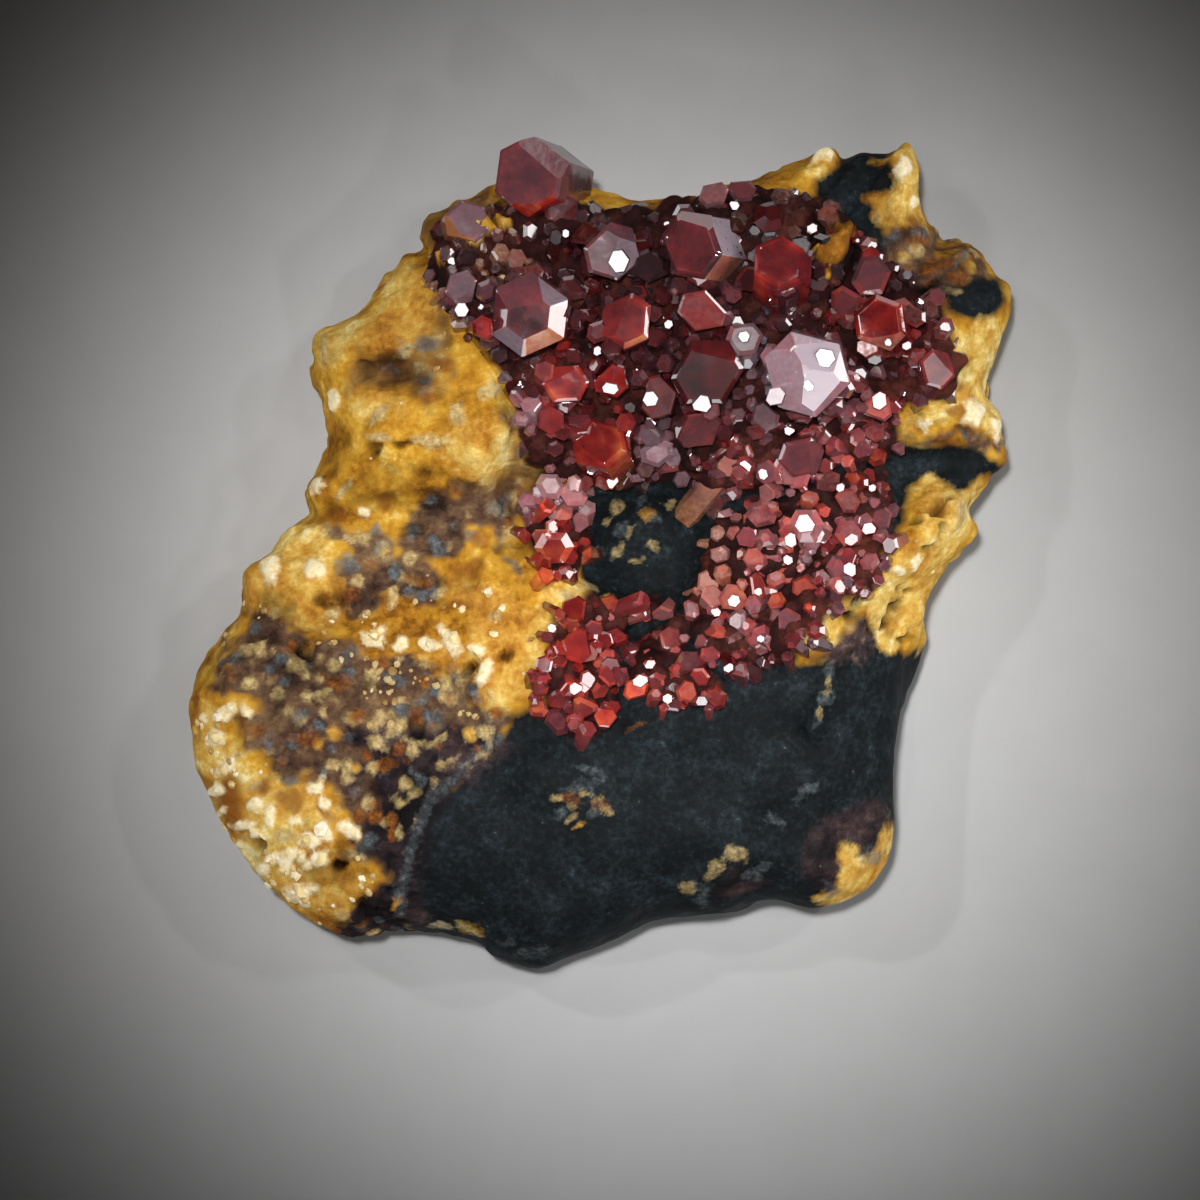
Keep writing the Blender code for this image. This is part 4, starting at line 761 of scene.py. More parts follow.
def rockZones(x, y, z, up):
    # every zone's share at each point: drawn outlines with ragged edges, drawn spots, and
    # scattered grains whose own number decides what they are
    look, zones, domes = rockLook, {}, {}

    def deepen(name, share):
        # where the zone was less than this share, it grows to it
        zones[name] = np.maximum(zones.get(name, 0), share)

    ragged = layered(x, y, z, look["ragged"])
    for name, edges in zoneForm.items():
        depth = zoneDepth(x, y, edges) + ragged * look["raggedness"][name]
        zones[name] = smoothStep(*look["zoneSoft"], depth)
    depth = zoneDepth(x, y, list(crustEdges.values())) + ragged * look["raggedness"]["bed"]
    zones["bed"] = smoothStep(*look["bedSoft"], depth) * smoothStep(*look["bedHeights"], z)

    low = smoothStep(*look["sideHeights"], z)
    stain = layered(x, y, z, look["stain"])
    for name, fade in look["sideFade"].items():
        zones[name] = zones[name] * (1 - fade * low)
    deepen("brown", low * smoothStep(*look["brownStain"], stain))
    deepen("dark", low * smoothStep(*look["blackStain"], stain))
    left = smoothStep(*look["leftBrownFrom"], y) * (x < 0)
    zones["brown"] = zones["brown"] * (1 - look["leftBrownFade"] * left)
    zones["bed"] = zones["bed"] * (1 - look["bedFade"] * zones["yellow"]
                                   * (y > look["bedFadeFrom"]))

    nearest, number = granules(x + ragged * look["grainBend"], y, z, look["grainSize"],
                               look["grainPattern"])
    grain = np.clip(1 - (nearest / look["grainReach"]) ** 2, 0, 1)
    mixed = np.clip(zones["brown"] + 0.5 * zones["maroon"], 0, 1) * (1 - zones["dark"])
    marked = smoothStep(*look["grainMark"], nearest) * mixed * look["grainShare"]
    bentX, bentY = layered(x, y, z, look["bendX"], x), layered(x, y, z, look["bendY"], y)
    stained = 1 - look["stainLoss"] * zones["dark"] * (1 - zones["yellow"])
    for kind in spots:
        mark, domes[kind] = spotAt(bentX, bentY, kind)
        deepen(kind, mark * up * look["spotShare"][kind] * stained)
        domes[kind] = domes[kind] * up * stained**3
    zones["bed"] = zones["bed"] * (1 - zones["olive"])
    least, more = look["oliveYellow"]
    deepen("yellow", zones["olive"] * (least + more * number))
    for kind, (middle, start, full) in look["grainKinds"].items():
        deepen(kind, marked * smoothStep(start, full, abs(number - middle)))

    rim = smoothStep(*look["rimSoft"], zoneDepth(x, y, [paleRim]))
    deepen("rust", rim * look["rimRust"] * smoothStep(*look["rimStain"], stain))
    # painted highlight: a pale line along the dark rock's lit left edge
    arc = np.exp(-((lineDistance(x, y, paintedHighlightArc) / look["arcWidth"]) ** 2))
    for kind, share in look["paintedHighlightShares"].items():
        deepen(kind, arc * (z > look["arcLowest"]) * share)
    zones["haze"] = np.clip(layered(x, y, z, look["haze"]), -0.3, 1)
    zones["number"] = (look["tone"] + look["toneByGrain"] * number
                       + lumps(x, y, z, *look["toneByCloud"]))
    for atX, atY, reach, change in look["paler"]:
        zones["number"] += change * np.exp(-((x - atX) ** 2 + (y - atY) ** 2) / reach**2)
    return zones, domes, grain


def makeRock():
    # the form pushed out or in along its normals by what each zone is made of
    points, faces = rockForms()
    normals = normalsOf(points, faces)
    x, y, z = points.T
    up = smoothStep(0.1, 0.5, normals[:, 2]) * (z > 3)
    zones, domes, grain = rockZones(x, y, z, up)
    print("rock: zones drawn on", len(points), "points")

    look, dark, bed = rockLook, zones["dark"], zones["bed"]
    earth, boss = layered(x, y, z, look["earth"]), layered(x, y, z, look["boss"])
    mixed = np.clip(zones["brown"] + zones["maroon"], 0, 1)
    byMixed, grainByMixed, byBrown = [least + more * share for (least, more), share in (
        (look["earthByMixed"], mixed), (look["grainByMixed"], mixed),
        (look["pitByBrown"], zones["brown"]))]
    pit = smoothStep(*look["pitFrom"], layered(x, y, z, look["pits"])) * byBrown
    rise = (earth * byMixed + look["grainHeight"] * grain * grainByMixed
            - look["pitDepth"] * pit) * (1 - dark) + boss * dark
    rise = rise + sum(look["spotRise"][kind] * dome for kind, dome in domes.items())
    rise = rise * (1 + look["oliveRough"] * earth * zones["olive"])
    bedRise = look["bedRise"] + look["bedGrain"] * grain + look["bedEarth"] * earth
    rise = rise * (1 - bed) + bed * bedRise
    rise = rise * smoothStep(*look["footFrom"], z)
    moved = points + normals * rise[:, None]
    moved[:, 2] = np.maximum(moved[:, 2], 0)
    back = (points[:, 2] <= 0) & (np.hypot(x, y) > 1e-6)
    raised = np.clip(lumps(x, y, z, *look["backLumps"]), 0, 1)
    moved[back, 2] = (raised * (shareOfWayOut(x, y) < look["backFlat"]))[back]

    # painted shade in the hollows, pits and between the grains, carried to the material
    paintedShade = look["paintedShade"]
    paintedHollowShade = (smoothStep(*look["hollowFrom"], earth) * (1 - dark) * paintedShade["hollow"]
              + pit * paintedShade["pit"] * (1 - dark) + paintedShade["drawnPit"] * zones["pit"]
              + mixed * (1 - grain) * paintedShade["between"])
    zones["paintedHollowShade"] = np.clip(paintedHollowShade, 0, 1) * (1 - paintedShade["lessOnCream"] * zones["cream"])
    colours = {label: np.stack([zones[name] for name in names], -1)
               for label, names in rockZoneNames.items()}
    piece = makePiece("matrix_rock", moved, faces, rockMaterial(), colours, sharpAngle=60)
    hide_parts("matrix")
    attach(piece, "root")
    print("rock: built")
    return moved, normals, zones


rockPoints, rockNormals, rockShares = makeRock()


# floor, lights and camera, in metres; some small crystals are turned to mirror the last panel

stageLook = {
    "floorHalf": 0.6, "floorDrop": 0.00005,
    "aim": (0.0, -0.0024, 0.01),
    "cameraDistance": 0.5, "viewWidth": 0.06,
    "lit": (0.0034, -0.0038, 0.0),  # where the lamps point
    "spots": [  # x, y, z, watts, radius: small lamps that glint in the faces
        (-0.03, 0.045, 0.63, 14.6, 0.02), (-0.20, 0.16, 0.42, 1.1, 0.008),
        (0.22, 0.14, 0.42, 0.9, 0.008), (0.10, -0.24, 0.42, 0.7, 0.008),
        (-0.08, -0.2, 0.5, 0.5, 0.008), (0.12, 0.05, 0.6, 0.7, 0.008),
    ],
    "spotSpread": 0.037,  # radius of the pool of light on the floor
    "panels": [  # x, y, z, width, watts: soft boxes that the faces mirror, lighting only them
        (0.0, 0.0, 0.8, 0.3, 0.04), (-0.5, 0.08, 0.2, 0.3, 0.65), (0.5, 0.06, 0.24, 0.35, 1.9),
        (0.0, -0.5, 0.2, 0.25, 0.45), (0.0, 0.5, 0.16, 0.3, 0.25), (0.24, 0.0, 0.42, 0.08, 0.02),
        (0.1, 0.14, 0.5, 0.1, 0.02), (-0.08, -0.11, 0.61, 0.07, 0.1),
    ],
    "room": 0.014,
}
smallBox = stageLook["panels"][-1][:3]
eyeAt = np.array(stageLook["aim"]) + [0, 0, stageLook["cameraDistance"]]


def makeStage():
    half, low = stageLook["floorHalf"], -stageLook["floorDrop"]
    mesh = bpy.data.meshes.new("floor")
    mesh.from_pydata([(-half, -half, low), (half, -half, low), (half, half, low),
                      (-half, half, low)], [], [(0, 1, 2, 3)])
    # paper, pressed smooth: an even pale grey with no shine
    material, tree, shader = newMaterial("paperSheetMatt", Roughness=0.9, IOR=1.45)
    place = addNode(tree, "TexCoord").outputs["Object"]
    fibre = addNode(tree, "TexNoise", {"Vector": place, "Scale": perMm(3.0), "Detail": 2.0})
    tone = addNode(tree, "ValToRGB", {"Fac": fibre}, stops=[(0.3, "#cacaca"), (0.7, "#cdcdcd")])
    tree.links.new(tone.outputs["Color"], shader.inputs["Base Color"])
    mesh.materials.append(material)
    floor = bpy.data.objects.new("floor", mesh)
    bpy.context.scene.collection.objects.link(floor)


def addLight(name, kind, at, energy, **settings):
    # one lamp that points at the specimen
    light = bpy.data.lights.new(name, kind)
    light.energy = energy
    for key, value in settings.items():
        setattr(light, key, value)
    lamp = bpy.data.objects.new(name, light)
    lamp.location = at
    toward = Vector(stageLook["lit"]) - Vector(at)
    lamp.rotation_euler = toward.to_track_quat("-Z", "Y").to_euler()
    bpy.context.scene.collection.objects.link(lamp)
    return lamp


def makeLights():
    for k, (x, y, z, watts, radius) in enumerate(stageLook["spots"]):
        away = math.dist((x, y, z), stageLook["lit"])
        addLight(f"spot{k}", "SPOT", (x, y, z), watts, shadow_soft_size=radius,
                 spot_size=2 * math.atan(stageLook["spotSpread"] / away), spot_blend=1.0)
    for k, (x, y, z, width, watts) in enumerate(stageLook["panels"]):
        panel = addLight(f"panel{k}", "AREA", (x, y, z), watts, shape="SQUARE", size=width)
        panel.light_linking.receiver_collection = specimen
    world = bpy.data.worlds.new("room")
    world.use_nodes = True
    world.node_tree.nodes["Background"].inputs["Color"].default_value = (1, 1, 1, 1)
    world.node_tree.nodes["Background"].inputs["Strength"].default_value = stageLook["room"]
    bpy.context.scene.world = world


def makeCamera():
    camera = bpy.data.cameras.new("camera")
    camera.sensor_width = 36.0
    camera.lens = camera.sensor_width * stageLook["cameraDistance"] / stageLook["viewWidth"]
    camera.clip_start, camera.clip_end = 0.01, 10.0
    eye = bpy.data.objects.new("camera", camera)
    eye.location = eyeAt
    bpy.context.scene.collection.objects.link(eye)
    bpy.context.scene.camera = eye


# the large crystals

def crystalMatrix(place):
    # top centre and turn of a crystal from its place on the rock, as in the solids
    x, y, reachX, reachY, rise, _, spin, _ = place
    axis = Vector((reachX, reachY, rise))
    top = np.array([x, y, float(rockTop(x - reachX, y - reachY)) + rise])
    spun = Matrix.Rotation(math.radians(spin), 3, "Z")
    return top, np.array(axis.to_track_quat("Z", "Y").to_matrix() @ spun), axis.length


# End faces, from the bevel inward: share of the way in, height as a share of the radius
endFaces = {
    "flat": [(0.3, 0.0), (0.6, 0.004), (0.9, 0.005)],
    "framed": [(0.05, 0.0), (0.09, -0.035), (0.45, -0.045), (0.9, -0.04)],
    "stepped": [(0.1, 0.0), (0.13, 0.05), (0.3, 0.06), (0.34, 0.12), (0.58, 0.125),
                (0.62, 0.09), (0.9, 0.08)],
}
# For each: place as in the solids (end face x, y, its reach past the foot x, y, rise, radius,
# spin, bevel), end face, colour (hue 0 wine to 1 orange, dust, shade, mauve veil of bloom and
# painted sheen), its six sides' shares, and cuts (azimuth, tilt from upright, depth in mm)
largeCrystals = {
    "top_edge": ((-3.6, 18.85, -1.2, 0.3, 3.2, 2.1, 7, 0.12), "flat", (0.46, 0.04, 0.95, 0.2),
                 (1.0, 0.98, 0.9, 1.0, 0.95, 1.0), [(72, 40, 0.5), (250, 52, 0.35)]),
    "upper_left": ((-6.6, 16.55, 0.3, 0.4, 2.2, 1.25, 20, 0.15), "flat", (0.42, 0.12, 0.6, 0.45),
                   (1.0, 0.85, 1.0, 0.95, 0.9, 0.92), [(210, 40, 0.25)]),
    "left_small": ((-6.9, 13.2, -0.1, 0.4, 2.0, 0.92, 0, 0.12), "flat", (0.42, 0.05, 0.7, 0.45),
                   (1.0, 1.0, 0.85, 1.0, 0.95, 0.9), [(300, 30, 0.2)]),
    "left_rounded": ((-3.6, 11.7, -0.3, -0.2, 3.4, 2.2, 20, 0.42), "flat", (0.36, 0.0, 0.8, 0.1),
                     (1.0, 0.97, 1.0, 0.93, 1.0, 0.95), [(118, 26, 0.3)]),
    "upper_middle": ((0.6, 14.9, -0.1, -0.2, 2.9, 1.6, 10, 0.14), "flat", (0.4, 0.12, 0.55, 0.2),
                     (0.9, 1.0, 0.82, 1.0, 0.95, 0.9), [(318, 9.5, 0.16), (60, 38, 0.35)]),
    "window": ((4.5, 15.2, -1.3, 0.1, 3.2, 1.85, 25, 0.16), "framed", (0.4, 0.0, 0.62, 0.08),
               (1.0, 0.86, 1.0, 1.0, 0.85, 1.0), [(100, 40, 0.3)]),
    "red_block": ((1.4, 11.5, 0, 0.3, 2.6, 1.5, 25, 0.2), "flat", (0.52, 0.0, 0.8, 0.06),
                  (1.0, 0.95, 0.82, 1.0, 0.9, 1.0), [(150, 30, 0.35)]),
    "rose": ((9.1, 14.4, 0.1, 1.4, 2.9, 1.65, 30, 0.12), "framed", (0.49, 0.03, 1.1, 0.03),
             (1.0, 0.9, 1.0, 0.85, 1.0, 1.0), [(20, 48, 0.4)]),
    "stepped": ((10.15, 8.8, -0.3, -0.3, 3.6, 2.3, 30, 0.3), "stepped", (0.5, 0.05, 1.1, 0.7),
                (1.0, 0.92, 1.0, 0.9, 1.0, 0.96),
                [(200, 34, 0.45), (58, 16, 0.3), (285, 17, 0.3)]),
    "framed": ((13.9, 11.4, -0.8, 0.3, 2.6, 1.55, 30, 0.18), "framed", (0.54, 0.1, 0.85, 0.0),
               (1.0, 0.9, 0.94, 1.0, 1.0, 0.86), [(250, 30, 0.3)]),
    "right_pink": ((16.8, 9.1, 0.5, 0, 1.9, 1.05, 15, 0.15), "flat", (0.56, 0.06, 0.85, 0.12),
                   (1.0, 0.85, 1.0, 1.0, 0.9, 1.0), [(30, 40, 0.2)]),
    "deep_red": ((5.3, 8.9, 0, -0.2, 2.6, 2.0, 0, 0.14), "flat", (0.34, 0.0, 0.5, 0.02),
                 (1.0, 0.9, 0.82, 1.0, 0.92, 0.88), [(75, 24, 0.3)]),
    "ember": ((-0.1, 5.5, -0.5, 0.8, 2.2, 1.55, 10, 0.18), "flat", (0.68, 0.04, 0.75, 0.02),
              (0.9, 1.0, 1.0, 0.82, 1.0, 1.0), [(200, 40, 0.3)]),
    "red_left": ((-1.7, 8.4, 0.1, 0.2, 2.2, 1.2, 30, 0.15), "flat", (0.66, 0.0, 0.85, 0.05),
                 (1.0, 0.88, 1.0, 1.0, 0.82, 1.0), [(110, 34, 0.25)]),
    "lath": ((6.9, 4.9, 1.9, 2.3, 2.7, 0.78, 0, 0.15), "flat", (0.85, 0.5, 0.95, 0.45),
             (1.0, 0.8, 1.0, 1.0, 0.85, 1.0), [(60, 20, 0.15)]),
    "lower_right": ((10.0, 4.7, 0, -0.4, 2.0, 1.2, 12, 0.15), "flat", (0.45, 0.04, 0.7, 0.15),
                    (1.0, 0.85, 1.0, 0.95, 0.9, 1.0), [(340, 30, 0.25)]),
}
largePlaces = [looks[0] for looks in largeCrystals.values()]
# Faces that differ from the rest of their crystal, some in colour but most by painted light:
# painted shade on faces that look away, painted reflections and glints on bevels, sides and cut
# facets. Azimuth and tilt that they look along, how far off still counts, then shade times, hue
# plus, veil plus, dust plus
faceTonesAndPaintedLight = {
    "top_edge": [(0, 60, 45, 0.75, 0.0, 0.0, 0.0), (262, 60, 40, 1.2, 0.15, -0.3, 0.0)],
    "upper_left": [(215, 60, 45, 1.0, 0.5, -0.5, 0.3)],
    "left_rounded": [(230, 38, 26, 1.1, -0.1, 0.65, 0.0), (130, 30, 24, 1.0, 0.1, 0.12, 0.0),
                     (20, 38, 24, 1.1, -0.1, 0.6, 0.0), (320, 42, 26, 1.1, 0.6, 0.0, 0.45)],
    "upper_middle": [(318, 10, 3, 1.0, 0.0, 0.4, 0.0)],
    "window": [(0, 68, 34, 1.3, -0.1, 1.3, 0.0), (288, 70, 34, 1.1, 0.45, 0.1, 0.3)],
    "red_block": [(290, 42, 30, 1.1, 0.35, 0.0, 0.4)],
    "rose": [(270, 70, 40, 1.0, 0.15, 0.0, 0.0)],
    "stepped": [(58, 16, 5, 1.3, 0.0, 0.6, 0.0), (285, 17, 5, 1.3, 0.0, 0.5, 0.0),
                (60, 38, 25, 1.2, 0.0, 0.5, 0.0), (240, 38, 30, 1.1, 0.0, 0.3, 0.0)],
    "framed": [(270, 45, 40, 1.1, 0.1, 0.1, 0.2)],
    "ember": [(300, 50, 40, 1.0, 0.1, 0.0, 0.1)],
}
crystalLook = {
    "perSide": 8,
    "edgeWidth": 0.03,  # of the fine facet along each edge, as a share of the radius
    "footShares": (0.9, 0.95), "uprightFootShares": (0.3, 0.7),  # how the hidden foot narrows
    "uprightFrom": 0.8,
    "footHeights": (1.0, 0.9, 0.78), "sideHeights": (0.74, 0.3, 9),  # shares of the length
    "bevelSteepness": 0.7,
    "root": 1.1, "floorGap": 0.5,
    "waviness": (0.006, 0.9), "banding": 0.006, "bandWidth": 0.22,
    "cloud": [(0.12, 1.1), (0.06, 0.4)],  # of the colour: height and width
    "paintedGlowHue": 0.14, "rimWidth": 0.08,  # painted glow: the bevel more orange and lighter
    "rootHue": 0.1, "rootDust": 0.2,
    "sideShade": 0.75, "sideShadeFrom": (0.15, 0.6),  # the sides darken towards the foot
    "facetContrast": 0.35, "facetHue": 0.08,
    "facetNoise": 1.6, "facetStep": 3.7,  # noise cells across all the ways, and between crystals
}


def hexagonCorners(radius, sides):
    # the corners where neighbouring sides meet, each side moved in by its own share
    apothem = np.asarray(radius)[..., None] * math.cos(math.pi / 6) * np.array(sides)
    after = np.roll(apothem, -1, -1)
    corner = np.radians(np.arange(6) * 60 + 60)
    half = (apothem + after) / 2 / math.cos(math.pi / 6)
    skew = (after - apothem) / 2 / math.sin(math.pi / 6)
    return np.stack([half * np.cos(corner) - skew * np.sin(corner),
                     half * np.sin(corner) + skew * np.cos(corner)], -1)


def hexagonRing(radius, sides, perSide, edge):
    # points along every side that stop short of the corners
    corners = hexagonCorners(radius, sides)
    t = np.concatenate([[edge], np.linspace(0.12, 0.88, perSide - 2), [1 - edge]])
    start, end = np.roll(corners, 1, 0)[:, None], corners[:, None]
    return (start + (end - start) * t[None, :, None]).reshape(-1, 2)


def crystalProfile(radius, length, bevel, endFace, upright):
    # share of the ring and height, from the root up the side, over the bevel and inward
    look, fine = crystalLook, crystalLook["edgeWidth"]
    foot = (*look["uprightFootShares" if upright else "footShares"], 1.0)
    profile = [(share, -length * low) for share, low in zip(foot, look["footHeights"])]
    profile += [(1.0, -length * low) for low in np.linspace(*look["sideHeights"])]
    drop = bevel * look["bevelSteepness"] * radius
    profile += [(1.0, -drop - fine * radius), (1 - fine / 2, -drop + fine * radius / 2)]
    profile += [(1 - bevel + fine / 2, -fine * radius / 2), (1 - bevel - fine / 2, 0.0)]
    profile += [((1 - bevel) * (1 - inward), height * radius)
                for inward, height in endFaces[endFace]]
    return np.array(profile)


def compass(azimuth, tilt):
    # the way that is turned this far round from x and this far down from upright
    azimuth, tilt = math.radians(azimuth), math.radians(tilt)
    return Vector((math.sin(tilt) * math.cos(azimuth), math.sin(tilt) * math.sin(azimuth),
                   math.cos(tilt)))


def cutCrystal(mesh, cuts):
    # slices off what lies beyond each plane and closes the cut with one flat face
    shape = bmesh.new()
    shape.from_mesh(mesh)
    for azimuth, tilt, depth in cuts:
        out = compass(azimuth, tilt)
        reach = max(vertex.co.dot(out) for vertex in shape.verts) - depth * mm
        cut = bmesh.ops.bisect_plane(shape, geom=[*shape.verts, *shape.edges, *shape.faces],
                                     plane_co=out * reach, plane_no=out, clear_outer=True)
        rim = [edge for edge in cut["geom_cut"] if isinstance(edge, bmesh.types.BMEdge)]
        for face in bmesh.ops.edgeloop_fill(shape, edges=rim)["faces"]:
            face.normal_update()
            if face.normal.dot(out) < 0:
                face.normal_flip()
        for edge in rim:
            edge.smooth = False
    shape.to_mesh(mesh)
    shape.free()


def toneFaces(mesh, tones, contrast, pattern):
    # every face's own tone: noise read at the way it looks, so one flat face has one tone
    normals = np.empty(len(mesh.polygons) * 3, np.float32)
    mesh.polygons.foreach_get("normal", normals)
    normals = normals.reshape(-1, 3).astype(float)
    ways = normals.T * crystalLook["facetNoise"] + pattern * crystalLook["facetStep"]
    shade = 1 + lumps(*ways, contrast, 0.8, pattern)
    hue = lumps(*ways, crystalLook["facetHue"], 0.7, pattern + 1)
    none = np.zeros(len(normals))
    tone = np.stack([shade, hue, none, none], -1)
    # the listed faces get their painted shade and painted reflections
    for azimuth, tilt, spread, *change in tones:
        near = normals @ np.array(compass(azimuth, tilt)) > math.cos(math.radians(spread))
        tone[near, 0] = change[0]
        tone[near, 1:] += change[1:]
    addColours(mesh, {"facet": tone}, "FACE")


def makeCrystal(name, place, endFace, colour, sides, cuts, material, pattern):
    # the six-sided ring carried along the profile, turned on to its axis and made uneven
    look = crystalLook
    top, turned, tall = crystalMatrix(place)
    radius, bevel, upright = place[5], place[7], turned[2, 2]
    length = tall + look["root"] + radius / 2
    length = min(length, (top[2] - look["floorGap"]) / upright - radius / 2)
    ring = hexagonRing(radius, sides, look["perSide"], look["edgeWidth"])
    profile = crystalProfile(radius, length, bevel, endFace, upright > look["uprightFrom"])
    share, height = profile.T
    band = lumps(height + pattern, 0 * share, 0 * share, 1.0, look["bandWidth"], pattern)
    banded = share * (1 + look["banding"] * band * (height < -0.1))
    local = np.concatenate([ring[None] * banded[:, None, None],
                            np.broadcast_to(height[:, None, None], (len(height), len(ring), 1))],
                           -1).reshape(-1, 3)
    local = np.vstack([local, [0, 0, -length - 0.1], [0, 0, height[-1]]])
    shift = np.stack([lumps(*local.T, *look["waviness"], pattern + k) for k in range(3)], -1)
    local = local + shift * (1 + 0.4 * radius)
    points = local @ turned.T + top
    quads, fans = shellFaces(len(profile), len(ring))

    level = np.append(np.repeat(np.arange(len(profile)), len(ring)), [0, len(profile)])
    inward = np.append(1 - np.repeat(share, len(ring)), [0, 1])
    depth = np.clip(-local[:, 2] / length, 0, 1)
    cloud = layered(*points.T, [(*lump, pattern + 7 + k) for k, lump in enumerate(look["cloud"])])
    sideLevels = len(look["footHeights"]) + look["sideHeights"][2]
    # painted glow along the bevel, where light would come through the thin edge
    rim = (level > sideLevels) * np.exp(-((inward - bevel) / look["rimWidth"]) ** 2)
    hue, dust, shade, paintedSheenVeil = colour
    hue = hue + cloud + look["paintedGlowHue"] * rim + look["rootHue"] * depth
    dust = (dust * (0.6 + 3 * np.clip(cloud, 0, 1))
            + look["rootDust"] * smoothStep(0.6, 0.9, depth))
    shade = (shade * (1 + 0.8 * cloud)
             * (1 - look["sideShade"] * smoothStep(*look["sideShadeFrom"], depth)))
    # painted sheen: the mauve-grey veil, fading down the sides
    paintedSheenVeil = paintedSheenVeil * (1 + 2 * cloud) * (1 - depth)
    tint = np.clip(np.stack([hue, dust, shade, paintedSheenVeil], -1), 0, [1, 1, 2, 1])
    piece = makePiece("vanadinite_" + name, points, quads.tolist() + fans.tolist(), material,
                      {"tint": tint}, sharpAngle=18)
    cutCrystal(piece.data, cuts)
    toneFaces(piece.data, faceTonesAndPaintedLight.get(name, []), look["facetContrast"], pattern)
    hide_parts("crystal_" + name)
    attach(piece, "root")


def vanadiniteMaterial():
    # vanadinite: a lead mineral grown as six-sided prisms in a rock hollow, faces as grown.
    # To the eye: wine to orange red, barely see-through, with a bright resinous, near
    # diamond-like shine; a mauve-grey veil on some faces is a thin bloom and painted reflection
    material, tree, shader = newMaterial("vanadiniteGrownCrystal", IOR=2.35, Roughness=0.1)
    shader.inputs["Subsurface Weight"].default_value = 0.2
    shader.inputs["Subsurface Radius"].default_value = (1.0, 0.12, 0.08)
    shader.inputs["Subsurface Scale"].default_value = 0.4 * mm
    place = addNode(tree, "TexCoord").outputs["Object"]
    tint = addNode(tree, "Attribute", attribute_name="tint")
    part = addNode(tree, "SeparateColor", {"Color": tint})
    facet = addNode(tree, "Attribute", attribute_name="facet")
    face = addNode(tree, "SeparateColor", {"Color": facet})
    cloud = addNode(tree, "TexNoise", {"Vector": place, "Scale": perMm(0.6), "Detail": 3.0})
    hue = addNode(tree, "MapRange", {"Value": cloud, "From Min": 0.25,
                                     "From Max": 0.75, "To Min": -0.12, "To Max": 0.12})
    hue = addNode(tree, "Math", {0: part.outputs[0], 1: hue}, operation="ADD")
    hue = addNode(tree, "Math", {0: hue, 1: face.outputs[1]}, operation="ADD")
    red = addNode(tree, "ValToRGB", {"Fac": hue}, stops=[
        (0.0, "#1a0708"), (1.0, "#c87038"), (0.25, "#3a0d10"), (0.5, "#6a1618"),
        (0.7, "#96231c"), (0.85, "#b04426")])
    shade = addNode(tree, "Math", {0: part.outputs[2], 1: face.outputs[0]}, operation="MULTIPLY")
    lit = addNode(tree, "VectorMath", {0: red, "Scale": shade}, operation="SCALE")
    speck = addNode(tree, "TexNoise", {"Vector": place, "Scale": perMm(0.25), "Detail": 3.0})
    dust = addNode(tree, "Math", {0: part.outputs[1], 1: facet.outputs["Alpha"]}, operation="ADD")
    dust = addNode(tree, "Math", {0: dust, 1: speck}, operation="MULTIPLY")
    dust = addNode(tree, "MapRange", {"Value": dust, "From Min": 0.05,
                                      "From Max": 0.4, "To Max": 0.8})
    dusty = addNode(tree, "Mix", {0: dust, 6: lit, 7: linear("#b4805c")}, data_type="RGBA")
    # painted sheen: the mauve-grey veil mixed into the base colour is a thin bloom and painted
    # reflection of the soft boxes
    paintedSheenVeil = addNode(tree, "Math", {0: tint.outputs["Alpha"], 1: face.outputs[2]}, operation="ADD")
    thin = addNode(tree, "Math", {0: speck, 1: 0.4, 2: 0.3}, operation="MULTIPLY_ADD")
    paintedSheenVeil = addNode(tree, "Math", {0: paintedSheenVeil, 1: thin}, operation="MULTIPLY")
    paintedSheenVeil = addNode(tree, "MapRange", {"Value": paintedSheenVeil, "From Max": 0.7, "To Max": 0.85})
    colour = addNode(tree, "Mix", {0: paintedSheenVeil, 6: dusty.outputs[2], 7: linear("#a898a4")},
                     data_type="RGBA")
    tree.links.new(colour.outputs[2], shader.inputs["Base Color"])
    dull = addNode(tree, "Math", {0: dust, 1: paintedSheenVeil}, operation="MAXIMUM")
    gloss = addNode(tree, "MapRange", {"Value": dull, "To Min": 0.06, "To Max": 0.35})
    tree.links.new(gloss.outputs[0], shader.inputs["Roughness"])
    bump = addNode(tree, "Bump", {"Strength": 0.1, "Distance": 0.05 * mm, "Height": cloud})
    tree.links.new(bump.outputs[0], shader.inputs["Normal"])
    return material


vanadinite = vanadiniteMaterial()
for pattern, (name, looks) in enumerate(largeCrystals.items()):
    makeCrystal(name, *looks, vanadinite, 100 + 10 * pattern)
print("large crystals:", len(largeCrystals))


# the crusts of small crystals

